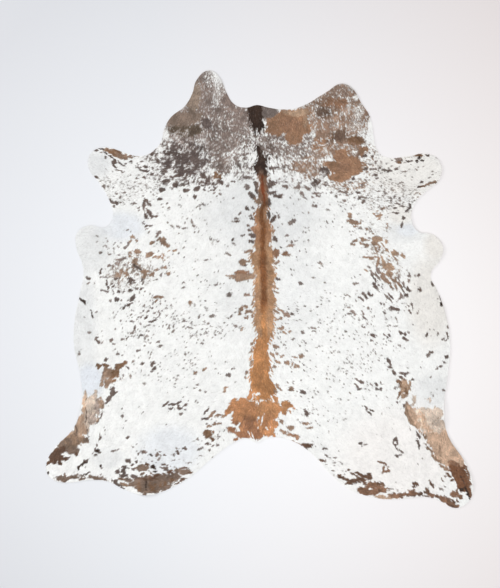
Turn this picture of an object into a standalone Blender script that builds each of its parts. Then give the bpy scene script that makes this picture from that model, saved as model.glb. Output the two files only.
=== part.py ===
"""A cowhide rug: one tanned hide with its hair on, lying flat with the hair side up.

The hide is a thin sheet of leather and flattened hair. It is cut to the outline of an animal skin
that has been opened along the belly: the neck at +Y, the forelegs and the belly flaps at both
sides, the hind legs and the notch of the tail at -Y. The spine runs along the Y axis. It lies flat
on the floor at z = 0, and a few low ripples lift it where the legs and the flanks never stretched
flat in the drying frame.

Units are metres.
"""

import math
from collections import namedtuple

import bmesh
import bpy

# ---------------------------------------------------------------- driving dimensions

LEATHER_THICKNESS = 0.0025      # the tanned skin
COAT_THICKNESS = 0.0020         # short hair, lying flat along the skin
HIDE_THICKNESS = LEATHER_THICKNESS + COAT_THICKNESS

SHEET_WIDTH = 2.28              # the sheet that the outline is cut from
SHEET_LENGTH = 2.34
SHEET_CELL = 0.042              # size of one cell of the rippled sheet
CUTTER_HEIGHT = 0.10            # the outline's prism, well above and below the sheet
CURVE_STEPS = 4                 # straight steps between two points of the outline

HIDE_COLOUR = (0.72, 0.69, 0.66, 1.0)   # mean of the white ground and the brown flecks
HIDE_ROUGHNESS = 0.75

# ---------------------------------------------------------------- the outline
# Points of the cut edge, clockwise from the left side of the neck as seen from above.
# across: metres to the right of the spine. along: metres from the middle towards the neck.

EdgePoint = namedtuple("EdgePoint", "across along")

NECK_EDGE = (
    EdgePoint(-0.478, 0.808),
    EdgePoint(-0.445, 0.866),
    EdgePoint(-0.375, 0.922),
    EdgePoint(-0.338, 0.985),
    EdgePoint(-0.318, 1.050),
    EdgePoint(-0.250, 1.100),
    EdgePoint(-0.197, 1.062),
    EdgePoint(-0.165, 0.990),
    EdgePoint(-0.124, 0.929),
    EdgePoint(-0.068, 0.914),
    EdgePoint(-0.014, 0.927),
    EdgePoint(0.044, 0.914),
    EdgePoint(0.120, 0.905),
    EdgePoint(0.200, 0.917),
    EdgePoint(0.335, 0.993),
    EdgePoint(0.410, 1.034),
    EdgePoint(0.462, 1.012),
    EdgePoint(0.508, 0.938),
    EdgePoint(0.552, 0.868),
    EdgePoint(0.568, 0.780),
)

RIGHT_FORELEG_EDGE = (
    EdgePoint(0.590, 0.695),
    EdgePoint(0.640, 0.664),
    EdgePoint(0.730, 0.670),
    EdgePoint(0.840, 0.681),
    EdgePoint(0.900, 0.640),
    EdgePoint(0.898, 0.552),
    EdgePoint(0.835, 0.496),
    EdgePoint(0.775, 0.432),
)

RIGHT_FLANK_EDGE = (
    EdgePoint(0.758, 0.345),
    EdgePoint(0.793, 0.292),
    EdgePoint(0.855, 0.283),
    EdgePoint(0.914, 0.222),
    EdgePoint(0.902, 0.150),
    EdgePoint(0.855, 0.080),
    EdgePoint(0.889, -0.002),
    EdgePoint(0.932, -0.125),
    EdgePoint(0.954, -0.280),
    EdgePoint(0.938, -0.440),
)

RIGHT_HIND_LEG_EDGE = (
    EdgePoint(0.922, -0.600),
    EdgePoint(0.943, -0.728),
    EdgePoint(1.022, -0.852),
    EdgePoint(1.064, -0.960),
    EdgePoint(1.054, -1.044),
    EdgePoint(0.985, -1.090),
    EdgePoint(0.905, -1.058),
    EdgePoint(0.830, -1.033),
    EdgePoint(0.735, -1.042),
)

RUMP_EDGE = (
    EdgePoint(0.625, -1.047),
    EdgePoint(0.530, -1.030),
    EdgePoint(0.432, -0.991),
    EdgePoint(0.338, -0.908),
    EdgePoint(0.240, -0.802),
    EdgePoint(0.150, -0.750),
    EdgePoint(0.040, -0.738),
    EdgePoint(-0.016, -0.763),
    EdgePoint(-0.070, -0.739),
    EdgePoint(-0.122, -0.758),
    EdgePoint(-0.212, -0.820),
    EdgePoint(-0.345, -0.935),
    EdgePoint(-0.445, -0.992),
    EdgePoint(-0.560, -1.027),
)

LEFT_HIND_LEG_EDGE = (
    EdgePoint(-0.675, -0.998),
    EdgePoint(-0.758, -0.957),
    EdgePoint(-0.850, -0.950),
    EdgePoint(-0.965, -0.963),
    EdgePoint(-1.042, -0.942),
    EdgePoint(-1.068, -0.880),
    EdgePoint(-1.035, -0.798),
    EdgePoint(-0.935, -0.693),
    EdgePoint(-0.893, -0.575),
)

LEFT_FLANK_EDGE = (
    EdgePoint(-0.896, -0.430),
    EdgePoint(-0.928, -0.280),
    EdgePoint(-0.925, -0.145),
    EdgePoint(-0.897, -0.005),
    EdgePoint(-0.882, 0.110),
    EdgePoint(-0.917, 0.215),
    EdgePoint(-0.910, 0.290),
    EdgePoint(-0.847, 0.325),
    EdgePoint(-0.775, 0.312),
)

LEFT_FORELEG_EDGE = (
    EdgePoint(-0.736, 0.350),
    EdgePoint(-0.743, 0.425),
    EdgePoint(-0.805, 0.538),
    EdgePoint(-0.855, 0.610),
    EdgePoint(-0.845, 0.680),
    EdgePoint(-0.775, 0.715),
    EdgePoint(-0.690, 0.695),
    EdgePoint(-0.600, 0.671),
    EdgePoint(-0.530, 0.699),
    EdgePoint(-0.492, 0.748),
)

OUTLINE = (
    NECK_EDGE
    + RIGHT_FORELEG_EDGE
    + RIGHT_FLANK_EDGE
    + RIGHT_HIND_LEG_EDGE
    + RUMP_EDGE
    + LEFT_HIND_LEG_EDGE
    + LEFT_FLANK_EDGE
    + LEFT_FORELEG_EDGE
)

# ---------------------------------------------------------------- the ripples
# Each ripple is a low ridge along a line from (x1, y1) to (x2, y2). It falls away to nothing at
# half_width from that line, on both sides and past both ends.

Ripple = namedtuple("Ripple", "place x1 y1 x2 y2 half_width height")

RIPPLES = (
    Ripple("right hock, across the leg", 0.93, -0.61, 0.78, -0.74, 0.10, 0.010),
    Ripple("right hind shank", 0.96, -0.76, 1.02, -0.96, 0.09, 0.007),
    Ripple("right thigh, upright", 0.78, -0.83, 0.785, -0.99, 0.08, 0.006),
    Ripple("right rump", 0.44, -0.68, 0.47, -0.90, 0.11, 0.005),
    Ripple("left hind leg, lengthwise", -0.87, -0.63, -0.87, -0.88, 0.09, 0.008),
    Ripple("left hoof end", -1.02, -0.92, -0.95, -0.80, 0.08, 0.006),
    Ripple("left rump, upright", -0.575, -0.86, -0.57, -1.02, 0.09, 0.008),
    Ripple("left thigh", -0.54, -0.53, -0.53, -0.77, 0.11, 0.005),
    Ripple("left flank", -0.83, -0.05, -0.84, -0.48, 0.12, 0.007),
    Ripple("right flank", 0.87, -0.10, 0.87, -0.46, 0.12, 0.006),
    Ripple("left belly flap", -0.75, 0.31, -0.87, 0.25, 0.10, 0.007),
    Ripple("right belly flap", 0.77, 0.31, 0.88, 0.21, 0.10, 0.006),
    Ripple("left foreleg", -0.80, 0.64, -0.66, 0.52, 0.11, 0.006),
    Ripple("right foreleg", 0.85, 0.61, 0.70, 0.49, 0.11, 0.006),
    Ripple("left side of the neck", -0.25, 1.06, -0.27, 0.90, 0.10, 0.005),
    Ripple("right side of the neck", 0.42, 0.99, 0.45, 0.83, 0.11, 0.006),
)


def distance_to_line(x, y, ripple):
    """Distance from a point to the straight line of a ripple, its two ends included."""
    run_x = ripple.x2 - ripple.x1
    run_y = ripple.y2 - ripple.y1
    share = ((x - ripple.x1) * run_x + (y - ripple.y1) * run_y) / (run_x ** 2 + run_y ** 2)
    share = min(1.0, max(0.0, share))
    return math.hypot(x - ripple.x1 - share * run_x, y - ripple.y1 - share * run_y)


def lift(x, y):
    """Height of the hide's underside over the floor: the highest ripple that reaches the point."""
    highest = 0.0
    for ripple in RIPPLES:
        reach = distance_to_line(x, y, ripple) / ripple.half_width
        if reach < 1.0:
            crest = ripple.height * math.cos(0.5 * math.pi * reach) ** 2
            highest = max(highest, crest)
    return highest


# ---------------------------------------------------------------- scene helpers

def remove_scene_objects():
    """Start from an empty scene."""
    for scene_object in list(bpy.data.objects):
        bpy.data.objects.remove(scene_object, do_unlink=True)


def new_collection(name):
    """A collection of the scene."""
    collection = bpy.data.collections.new(name)
    bpy.context.scene.collection.children.link(collection)
    return collection


def move_to_collection(scene_object, collection):
    """Leave every other collection and go into this one."""
    for holder in list(scene_object.users_collection):
        holder.objects.unlink(scene_object)
    collection.objects.link(scene_object)


def hair_on_leather():
    """The finish of the whole hide, as one mean colour."""
    material = bpy.data.materials.new("hair_on_leather")
    material.use_nodes = True
    shader = material.node_tree.nodes["Principled BSDF"]
    shader.inputs["Base Color"].default_value = HIDE_COLOUR
    shader.inputs["Roughness"].default_value = HIDE_ROUGHNESS
    shader.inputs["Metallic"].default_value = 0.0
    material.diffuse_color = HIDE_COLOUR
    return material


# ---------------------------------------------------------------- the hide

def outline_curve():
    """The cut edge as a filled flat curve, thick enough to pass through the rippled sheet."""
    curve = bpy.data.curves.new("outline", type="CURVE")
    curve.dimensions = "2D"
    curve.fill_mode = "BOTH"
    curve.resolution_u = CURVE_STEPS
    curve.render_resolution_u = CURVE_STEPS
    curve.extrude = CUTTER_HEIGHT / 2
    spline = curve.splines.new("BEZIER")
    spline.bezier_points.add(len(OUTLINE) - 1)
    for knot, point in zip(spline.bezier_points, OUTLINE):
        knot.co = (point.across, point.along, 0.0)
        knot.handle_left_type = "AUTO"
        knot.handle_right_type = "AUTO"
    spline.use_cyclic_u = True
    curve_object = bpy.data.objects.new("outline", curve)
    bpy.context.scene.collection.objects.link(curve_object)
    return curve_object


def outline_cutter(cutters):
    """The outline's prism as a closed mesh, its box centred on the origin."""
    curve_object = outline_curve()
    bpy.context.view_layer.update()
    evaluated = curve_object.evaluated_get(bpy.context.evaluated_depsgraph_get())
    mesh = bpy.data.meshes.new_from_object(evaluated)
    shell = bmesh.new()
    shell.from_mesh(mesh)
    bmesh.ops.remove_doubles(shell, verts=shell.verts, dist=0.0001)
    across = [vertex.co.x for vertex in shell.verts]
    along = [vertex.co.y for vertex in shell.verts]
    middle = (-(min(across) + max(across)) / 2, -(min(along) + max(along)) / 2, 0.0)
    bmesh.ops.translate(shell, verts=shell.verts, vec=middle)
    bmesh.ops.recalc_face_normals(shell, faces=shell.faces)
    shell.to_mesh(mesh)
    shell.free()
    cutter = bpy.data.objects.new("outline_cutter", mesh)
    cutter.matrix_world = curve_object.matrix_world.copy()
    bpy.data.objects.remove(curve_object, do_unlink=True)
    cutters.objects.link(cutter)
    cutter.hide_render = True
    cutter.display_type = "WIRE"
    return cutter


def rippled_sheet(parts):
    """A grid as large as the hide, raised by the ripples and given the hide's thickness."""
    bpy.ops.mesh.primitive_grid_add(
        x_subdivisions=round(SHEET_WIDTH / SHEET_CELL),
        y_subdivisions=round(SHEET_LENGTH / SHEET_CELL),
        size=1.0,
    )
    sheet = bpy.context.active_object
    sheet.name = "hide"
    sheet.data.name = "hide"
    for vertex in sheet.data.vertices:
        vertex.co.x *= SHEET_WIDTH
        vertex.co.y *= SHEET_LENGTH
        vertex.co.z = lift(vertex.co.x, vertex.co.y)
    thickness = sheet.modifiers.new("thickness", "SOLIDIFY")
    thickness.thickness = HIDE_THICKNESS
    thickness.offset = 1.0
    move_to_collection(sheet, parts)
    return sheet


def cut_to_outline(sheet, cutter):
    """Keep what lies inside the outline."""
    cut = sheet.modifiers.new("cut_to_outline", "BOOLEAN")
    cut.operation = "INTERSECT"
    cut.solver = "EXACT"
    cut.object = cutter


def main():
    """Model the rug."""
    remove_scene_objects()
    parts = new_collection("cowhide_rug")
    cutters = new_collection("cutters")
    cutter = outline_cutter(cutters)
    hide = rippled_sheet(parts)
    cut_to_outline(hide, cutter)
    hide.data.materials.append(hair_on_leather())


main()
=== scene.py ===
# %% [markdown]
# # A cowhide rug
#
# A cowhide rug is one tanned hide that keeps its hair: thin leather below, and short hair on top
# that lies flat along the body in the direction called the nap. Here the hide lies hair side up
# on a pale floor and is seen from straight above.
#
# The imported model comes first. It holds the hide as one thin solid, cut to its outline and lifted
# by a few low ripples. Everything below is laid on that frame, so its box is kept for later.

import math
from collections import namedtuple

import bmesh
import bpy
import numpy as np
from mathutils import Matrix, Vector


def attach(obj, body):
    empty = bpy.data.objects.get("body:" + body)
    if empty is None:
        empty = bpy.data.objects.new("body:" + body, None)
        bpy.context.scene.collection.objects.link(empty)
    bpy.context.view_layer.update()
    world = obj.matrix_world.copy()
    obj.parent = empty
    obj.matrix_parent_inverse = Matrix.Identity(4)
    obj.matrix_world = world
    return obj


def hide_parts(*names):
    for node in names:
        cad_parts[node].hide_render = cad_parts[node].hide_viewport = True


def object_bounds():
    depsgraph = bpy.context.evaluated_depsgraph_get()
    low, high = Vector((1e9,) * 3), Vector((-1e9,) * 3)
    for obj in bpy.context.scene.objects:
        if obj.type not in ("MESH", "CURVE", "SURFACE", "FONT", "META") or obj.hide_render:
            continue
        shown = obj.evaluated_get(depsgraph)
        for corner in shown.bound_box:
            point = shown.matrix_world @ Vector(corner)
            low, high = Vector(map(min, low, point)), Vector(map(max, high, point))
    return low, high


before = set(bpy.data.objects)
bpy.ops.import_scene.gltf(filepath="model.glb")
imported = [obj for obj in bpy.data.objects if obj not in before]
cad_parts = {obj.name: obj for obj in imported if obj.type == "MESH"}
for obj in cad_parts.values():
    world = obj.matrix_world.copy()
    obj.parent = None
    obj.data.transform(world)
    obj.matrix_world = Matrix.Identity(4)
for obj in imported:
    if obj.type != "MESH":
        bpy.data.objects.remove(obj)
frame_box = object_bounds()
box_low, box_high = frame_box
print("frame box", [round(value, 4) for corner in frame_box for value in corner])

# %% [markdown]
# ## From the photograph to metres
#
# The camera of the photograph looked straight down, so one scale serves the whole hide. Places on
# the hide are read in the photograph's own pixels, because a pattern is easiest to place where it
# is seen, and sizes are given in millimetres. A hide of this kind is about 2.2 m long, which
# makes one pixel 5 mm.

# %% Photograph scale
PHOTO_WIDTH = 500
PHOTO_HEIGHT = 588
METRES_A_PIXEL = 0.005
SPINE_PIXEL_X = 259.6          # the middle of the hide's box, in the photograph
MIDDLE_PIXEL_Y = 289.0
MILLIMETRE = 0.001


def across_of(photo_x):
    """Metres to the right of the hide's middle."""
    return (photo_x - SPINE_PIXEL_X) * METRES_A_PIXEL


def along_of(photo_y):
    """Metres from the hide's middle towards the neck."""
    return (MIDDLE_PIXEL_Y - photo_y) * METRES_A_PIXEL


print("photograph covers", PHOTO_WIDTH * METRES_A_PIXEL, "x", PHOTO_HEIGHT * METRES_A_PIXEL, "m")

# %% [markdown]
# ## The camera
#
# A rug photographed for a shop lies on the floor under a camera on a boom. A long lens from high
# up keeps the outline free of perspective, so this camera hangs at the height where an 85 mm lens
# just covers the photograph's length of floor.

# %% Camera
LENS = 85.0                    # millimetres
SENSOR = 36.0                  # millimetres
FAR_LIMIT = 60.0               # metres, well past the ends of the floor


def add_object(name, data):
    """Put a camera, a lamp or a mesh into the scene."""
    added = bpy.data.objects.new(name, data)
    bpy.context.scene.collection.objects.link(added)
    return added


view_length = PHOTO_HEIGHT * METRES_A_PIXEL
camera_height = view_length * LENS / SENSOR
camera_data = bpy.data.cameras.new("camera")
camera_data.lens = LENS
camera_data.sensor_width = SENSOR
camera_data.clip_end = FAR_LIMIT
camera = add_object("camera", camera_data)
camera.location = (across_of(PHOTO_WIDTH / 2), along_of(PHOTO_HEIGHT / 2), camera_height)
bpy.context.scene.camera = camera
print("camera height", round(camera_height, 3))

# %% [markdown]
# ## Helpers for modelling with operators
#
# An operator works on whatever is selected, and loading the frame leaves its nodes selected. So
# each piece starts with nothing selected, and one helper leaves just one object selected and
# active. Another applies a modifier, so that the finished piece is a plain mesh.

# %% Selection and modifier helpers


def deselect_all():
    """Leave no object selected."""
    if bpy.context.mode != "OBJECT":
        bpy.ops.object.mode_set(mode="OBJECT")
    bpy.ops.object.select_all(action="DESELECT")


def select_only(piece):
    """Make one object the selected and active one."""
    deselect_all()
    piece.select_set(True)
    bpy.context.view_layer.objects.active = piece


def apply_modifier(piece, kind, name, **settings):
    """Add one modifier, set it and apply it to the mesh."""
    select_only(piece)
    modifier = piece.modifiers.new(name, kind)
    for setting, value in settings.items():
        setattr(modifier, setting, value)
    bpy.ops.object.modifier_apply(modifier=name)


def named(piece, name):
    """Give an object and its mesh the same name."""
    piece.name = name
    piece.data.name = name
    return piece


deselect_all()

# %% [markdown]
# ## Shader sums that read like sums
#
# A material is a graph of nodes, and adding them one by one hides the arithmetic. A small class
# wraps one output socket, so that plus, minus and times on it add Math nodes. Its make method adds
# any other node: first the node's type, then its settings, then what goes into its sockets.

# %% Shader class
MIX_FACTOR = 0
MIX_FIRST_COLOUR = 6
MIX_SECOND_COLOUR = 7
MIX_COLOUR_OUT = 2


class Socket:
    """One output of a shader node, which takes part in sums."""

    def __init__(self, tree, output):
        self.tree = tree
        self.output = output

    def make(self, kind, settings, inputs, output=0):
        """Add any node and give back one of its outputs."""
        node = self.tree.nodes.new(kind)
        for name, setting in settings.items():
            setattr(node, name, setting)
        for name, value in inputs.items():
            feed(node, name, value)
        return Socket(self.tree, node.outputs[output])

    def math(self, operation, first, second):
        """Add a Math node for one step of a sum."""
        return self.make("ShaderNodeMath", {"operation": operation}, {0: first, 1: second})

    def __add__(self, other):
        return self.math("ADD", self, other)

    def __sub__(self, other):
        return self.math("SUBTRACT", self, other)

    def __rsub__(self, other):
        return self.math("SUBTRACT", other, self)

    def __mul__(self, other):
        return self.math("MULTIPLY", self, other)

    __radd__ = __add__
    __rmul__ = __mul__

    def clamped(self):
        """The same value, held between 0 and 1."""
        return self.make("ShaderNodeClamp", {}, {"Value": self})

    def scaled(self, factor):
        """A colour or vector made larger or smaller by a value."""
        return self.make("ShaderNodeVectorMath", {"operation": "SCALE"}, {0: self, "Scale": factor})

    def between(self, first, second):
        """A colour that goes from the first to the second as this value goes from 0 to 1."""
        inputs = {MIX_FACTOR: self, MIX_FIRST_COLOUR: first, MIX_SECOND_COLOUR: second}
        return self.make("ShaderNodeMix", {"data_type": "RGBA"}, inputs, MIX_COLOUR_OUT)


def feed(node, name, value):
    """Set one socket of a node, or link a worked-out value into it."""
    if isinstance(value, Socket):
        value.tree.links.new(value.output, node.inputs[name])
    else:
        node.inputs[name].default_value = value


def feed_bump(shader, height, strength, distance):
    """Let a value raise the surface, at most by that distance."""
    inputs = {"Strength": strength, "Distance": distance, "Height": height}
    feed(shader, "Normal", height.make("ShaderNodeBump", {}, inputs, "Normal"))


def new_material(name, specular):
    """A material with a Principled shader, and a socket to start sums from."""
    material = bpy.data.materials.new(name)
    material.use_nodes = True
    tree = material.node_tree
    shader = tree.nodes["Principled BSDF"]
    feed(shader, "Specular IOR Level", specular)
    place = tree.nodes.new("ShaderNodeTexCoord")
    return material, shader, Socket(tree, place.outputs["Object"])


def attribute(start, name, output="Fac"):
    """What a mesh attribute holds, as a number or as a colour."""
    return start.make("ShaderNodeAttribute", {"attribute_name": name}, {}, output)


print("shader helpers ready")

# %% [markdown]
# ## Colours as they are seen
#
# Colours are matched to the photograph and written as 0 to 255, the way a paint program shows
# them. Blender's shaders count in light instead, so one function turns one into the other.

# %% From seen colours to light


def to_light(seen):
    """Seen colours from 0 to 255 as the shares of light that they reflect."""
    share = np.clip(np.asarray(seen, dtype=float) / 255.0, 0.0, 1.0)
    return np.where(share <= 0.04045, share / 12.92, ((share + 0.055) / 1.055) ** 2.4)


def shader_colour(seen):
    """A seen colour as the four numbers that a shader socket takes."""
    return (*to_light(seen), 1.0)


print("mid grey reflects", round(float(to_light(128)), 3))

# %% [markdown]
# ## Floor and light
#
# The hide lies in a bright studio: a white floor, cool at the left and slightly warm at the right, with
# hardly a shadow. The floor's darkening towards the corners is painted shade in its colour. A wide, soft
# lamp overhead lights it, with a weaker one from the neck's left side, so that the low ripples still show,
# and a pale sky fills the rest.

# %% Floor
FLOOR_SIZE = 24.0
FLOOR_SEEN = (246, 248, 251)
FLOOR_WARM_SEEN = (252, 246, 244)
# painted shade: the floor's colour goes over to these darker tones towards the corners
FLOOR_CORNER_SHADE_SEEN = (220, 221, 225)
WARM_CORNER_SHADE_SEEN = (236, 225, 223)
FLOOR_ROUGHNESS = 0.8
FLOOR_SPECULAR = 0.2
MIDDLE_WARMTH = 0.25           # how warm the floor is under the spine
WARMTH_A_METRE = 0.45          # and how much warmer with each metre to the right
# painted shade: the floor is unshaded within BRIGHT_RADIUS of this place and fully darkened at
# CORNER_RADIUS
BRIGHT_PLACE = (0.45, -0.30, 0.0)
BRIGHT_RADIUS = 0.60           # the evenly lit middle of the floor
CORNER_RADIUS = 2.30

deselect_all()
bpy.ops.mesh.primitive_plane_add(size=FLOOR_SIZE)
floor = named(bpy.context.active_object, "floor")
floor_material, floor_shader, place = new_material("pale_floor", FLOOR_SPECULAR)
sides = place.make("ShaderNodeSeparateXYZ", {}, {0: place}, "X")
distance = place.make(
    "ShaderNodeVectorMath", {"operation": "DISTANCE"}, {0: place, 1: BRIGHT_PLACE}, "Value"
)
warmth = (sides * WARMTH_A_METRE + MIDDLE_WARMTH).clamped()
# painted shade: how far the floor is painted towards the darker corner colour
corner = ((distance - BRIGHT_RADIUS) * (1.0 / (CORNER_RADIUS - BRIGHT_RADIUS))).clamped()
plain = warmth.between(shader_colour(FLOOR_SEEN), shader_colour(FLOOR_WARM_SEEN))
painted_corner_shade = warmth.between(shader_colour(FLOOR_CORNER_SHADE_SEEN), shader_colour(WARM_CORNER_SHADE_SEEN))
feed(floor_shader, "Base Color", corner.between(plain, painted_corner_shade))
feed(floor_shader, "Roughness", FLOOR_ROUGHNESS)
floor.data.materials.append(floor_material)
print("floor", FLOOR_SIZE, "m wide")

# %% Light
OVERHEAD_POWER = 287.0
OVERHEAD_SIZE = 5.0
OVERHEAD_PLACE = (0.0, -0.5, 6.0)
SIDE_POWER = 230.0
SIDE_SIZE = 2.0
SIDE_PLACE = (-7.0, 3.0, 3.6)
SKY_COLOUR = (0.95, 0.97, 1.0, 1.0)
SKY_STRENGTH = 0.27


def add_lamp(name, power, size, where):
    """A square lamp that faces the middle of the hide."""
    lamp_data = bpy.data.lights.new(name, "AREA")
    lamp_data.energy = power
    lamp_data.size = size
    lamp = add_object(name, lamp_data)
    lamp.location = where
    lamp.rotation_euler = (-Vector(where)).to_track_quat("-Z", "Y").to_euler()


add_lamp("overhead_lamp", OVERHEAD_POWER, OVERHEAD_SIZE, OVERHEAD_PLACE)
add_lamp("side_lamp", SIDE_POWER, SIDE_SIZE, SIDE_PLACE)
sky = bpy.data.worlds.new("sky")
sky.use_nodes = True
feed(sky.node_tree.nodes["Background"], "Color", SKY_COLOUR)
feed(sky.node_tree.nodes["Background"], "Strength", SKY_STRENGTH)
bpy.context.scene.world = sky
bpy.context.scene.view_settings.view_transform = "Standard"
print("lamps", OVERHEAD_POWER, SIDE_POWER)

# %% [markdown]
# ## The cut edge
#
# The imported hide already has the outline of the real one: neck, forelegs, belly flaps, hind legs
# and the notch at the tail. Its mesh is loose triangles, so a copy of it is merged, and the ring
# of edges between its wall and its underside is walked round once. That ring of points is the cut
# edge that the leather, the hair and the pattern all follow.

# %% Read the cut edge from the frame
WELD = 0.0001
LOOKS_DOWN = -0.3              # a face of the underside has an upward share below this
WALL_LIMIT = 0.5               # and a wall has one between the two


def cut_edge(node_name):
    """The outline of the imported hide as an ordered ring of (x, y)."""
    shell = bmesh.new()
    shell.from_mesh(bpy.data.objects[node_name].data)
    bmesh.ops.remove_doubles(shell, verts=shell.verts, dist=WELD)
    neighbours = {}
    for edge in shell.edges:
        upward = sorted(face.normal.z for face in edge.link_faces)
        if len(upward) == 2 and upward[0] < LOOKS_DOWN < upward[1] < WALL_LIMIT:
            first, second = edge.verts
            neighbours.setdefault(first, []).append(second)
            neighbours.setdefault(second, []).append(first)
    start = min(neighbours, key=lambda vertex: (vertex.co.y, vertex.co.x))
    ring = [start]
    before = start
    here = neighbours[start][0]
    while here is not start:
        ring.append(here)
        first, second = neighbours[here]
        following = second if first is before else first
        before = here
        here = following
    points = np.array([vertex.co[:2] for vertex in ring])
    shell.free()
    return points


edge_ring = cut_edge("hide")
print("cut edge", len(edge_ring), "points")

# %% [markdown]
# Hair may only grow inside the edge, so each root has to know how deep inside it lies. Counting
# how often a line to the left crosses the ring tells inside from outside, and the distance to the
# nearest stretch of the ring gives the depth. Sorting the points by height first means that each
# stretch is only compared with the few points beside it.

# %% Depth inside the cut edge
EDGE_REACH = 0.025             # depths are only worked out this close to the edge


def depth_inside(x, y):
    """Distance of each point from the cut edge, at most EDGE_REACH, and negative outside."""
    order = np.argsort(y)
    sorted_x = x[order]
    sorted_y = y[order]
    crossings = np.zeros(len(x), dtype=int)
    nearest = np.full(len(x), EDGE_REACH)
    for (x1, y1), (x2, y2) in zip(edge_ring, np.roll(edge_ring, -1, axis=0)):
        lower, upper = min(y1, y2), max(y1, y2)
        level = slice(*np.searchsorted(sorted_y, (lower, upper)))
        if upper > lower:
            crossed_at = x1 + (sorted_y[level] - y1) * (x2 - x1) / (y2 - y1)
            crossings[level] += sorted_x[level] < crossed_at
        near = slice(*np.searchsorted(sorted_y, (lower - EDGE_REACH, upper + EDGE_REACH)))
        from_x = sorted_x[near] - x1
        from_y = sorted_y[near] - y1
        run_x, run_y = x2 - x1, y2 - y1
        share = np.clip((from_x * run_x + from_y * run_y) / (run_x ** 2 + run_y ** 2), 0, 1)
        gap = np.hypot(from_x - share * run_x, from_y - share * run_y)
        nearest[near] = np.minimum(nearest[near], gap)
    depth = np.empty(len(x))
    depth[order] = np.where(crossings % 2 == 1, nearest, -nearest)
    return depth


print("depth at the middle", depth_inside(np.zeros(1), np.zeros(1)))

# %% [markdown]
# ## Ripples and creases
#
# A hide is dried stretched in a frame, and where it was never pulled flat, at the legs, the flanks
# and the neck, it stays a little wavy. The broad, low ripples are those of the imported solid. The
# narrow creases lie on top of them, and only this finer sheet is thin enough to show them: a few
# soft ridges and troughs on the shanks and along the rump.

# %% Ripples of the solid, and finer creases
Ripple = namedtuple("Ripple", "place x1 y1 x2 y2 half_width height")
RIPPLES = (
    Ripple("right hock, across the leg", 0.93, -0.61, 0.78, -0.74, 0.10, 0.010),
    Ripple("right hind shank", 0.96, -0.76, 1.02, -0.96, 0.09, 0.007),
    Ripple("right thigh, upright", 0.78, -0.83, 0.785, -0.99, 0.08, 0.006),
    Ripple("right rump", 0.44, -0.68, 0.47, -0.90, 0.11, 0.005),
    Ripple("left hind leg, lengthwise", -0.87, -0.63, -0.87, -0.88, 0.09, 0.008),
    Ripple("left hoof end", -1.02, -0.92, -0.95, -0.80, 0.08, 0.006),
    Ripple("left rump, upright", -0.575, -0.86, -0.57, -1.02, 0.09, 0.008),
    Ripple("left thigh", -0.54, -0.53, -0.53, -0.77, 0.11, 0.005),
    Ripple("left flank", -0.83, -0.05, -0.84, -0.48, 0.12, 0.007),
    Ripple("right flank", 0.87, -0.10, 0.87, -0.46, 0.12, 0.006),
    Ripple("left belly flap", -0.75, 0.31, -0.87, 0.25, 0.10, 0.007),
    Ripple("right belly flap", 0.77, 0.31, 0.88, 0.21, 0.10, 0.006),
    Ripple("left foreleg", -0.80, 0.64, -0.66, 0.52, 0.11, 0.006),
    Ripple("right foreleg", 0.85, 0.61, 0.70, 0.49, 0.11, 0.006),
    Ripple("left side of the neck", -0.25, 1.06, -0.27, 0.90, 0.10, 0.005),
    Ripple("right side of the neck", 0.42, 0.99, 0.45, 0.83, 0.11, 0.006),
)
CREASES = (
    Ripple("left shank, inner", -0.868, -0.555, -0.863, -0.695, 0.022, -0.0022),
    Ripple("left shank, inner ridge", -0.893, -0.570, -0.888, -0.700, 0.020, 0.0018),
    Ripple("left shank, outer", -0.928, -0.685, -0.908, -0.755, 0.020, -0.0020),
    Ripple("left rump, upright", -0.570, -0.895, -0.568, -1.010, 0.024, -0.0024),
    Ripple("left rump, beside it", -0.535, -0.880, -0.530, -0.960, 0.026, 0.0016),
    Ripple("right thigh, upright", 0.782, -0.805, 0.786, -0.985, 0.024, -0.0022),
    Ripple("right thigh, beside it", 0.812, -0.830, 0.818, -0.960, 0.024, 0.0014),
    Ripple("right hock, slanting", 0.917, -0.620, 0.862, -0.680, 0.024, -0.0026),
    Ripple("right hock, under it", 0.905, -0.662, 0.848, -0.712, 0.026, 0.0020),
    Ripple("right shank, upright", 0.912, -0.755, 0.925, -0.835, 0.022, -0.0018),
)


def along_line(x, y, ripple):
    """How near each point lies to a ripple's line: 1 on it, 0 at half_width and beyond."""
    run_x = ripple.x2 - ripple.x1
    run_y = ripple.y2 - ripple.y1
    share = ((x - ripple.x1) * run_x + (y - ripple.y1) * run_y) / (run_x ** 2 + run_y ** 2)
    share = np.clip(share, 0, 1)
    gap = np.hypot(x - ripple.x1 - share * run_x, y - ripple.y1 - share * run_y)
    return 1 - np.clip(gap / ripple.half_width, 0, 1)


def crest(nearness):
    """The soft shape across a ripple, from 0 at its foot to 1 on its line."""
    return np.sin(0.5 * math.pi * nearness) ** 2


def lift(x, y):
    """Height of the leather's underside over the floor."""
    height = np.zeros(np.shape(x))
    for ripple in RIPPLES:
        height = np.maximum(height, ripple.height * crest(along_line(x, y, ripple)))
    for crease in CREASES:
        height = height + crease.height * crest(along_line(x, y, crease))
    return np.maximum(height, 0.0)


print("ripples", len(RIPPLES), "creases", len(CREASES))

# %% [markdown]
# ## The leather
#
# The tanned skin is one even sheet, about 2.5 mm thick. A grid of small cells is raised by the
# ripples and creases, Solidify gives it its thickness, and a prism on the cut edge trims it, the
# way a knife trims the real one. The prism is the ring of edge points filled with one face, inset
# a little so that the hair overhangs the leather as it does on a real rug, and extruded.

# %% The trimming prism
LEATHER_THICKNESS = 0.0025
HAIR_OVERHANG = 0.0025
PRISM_BOTTOM = -0.05
PRISM_HEIGHT = 0.12


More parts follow.
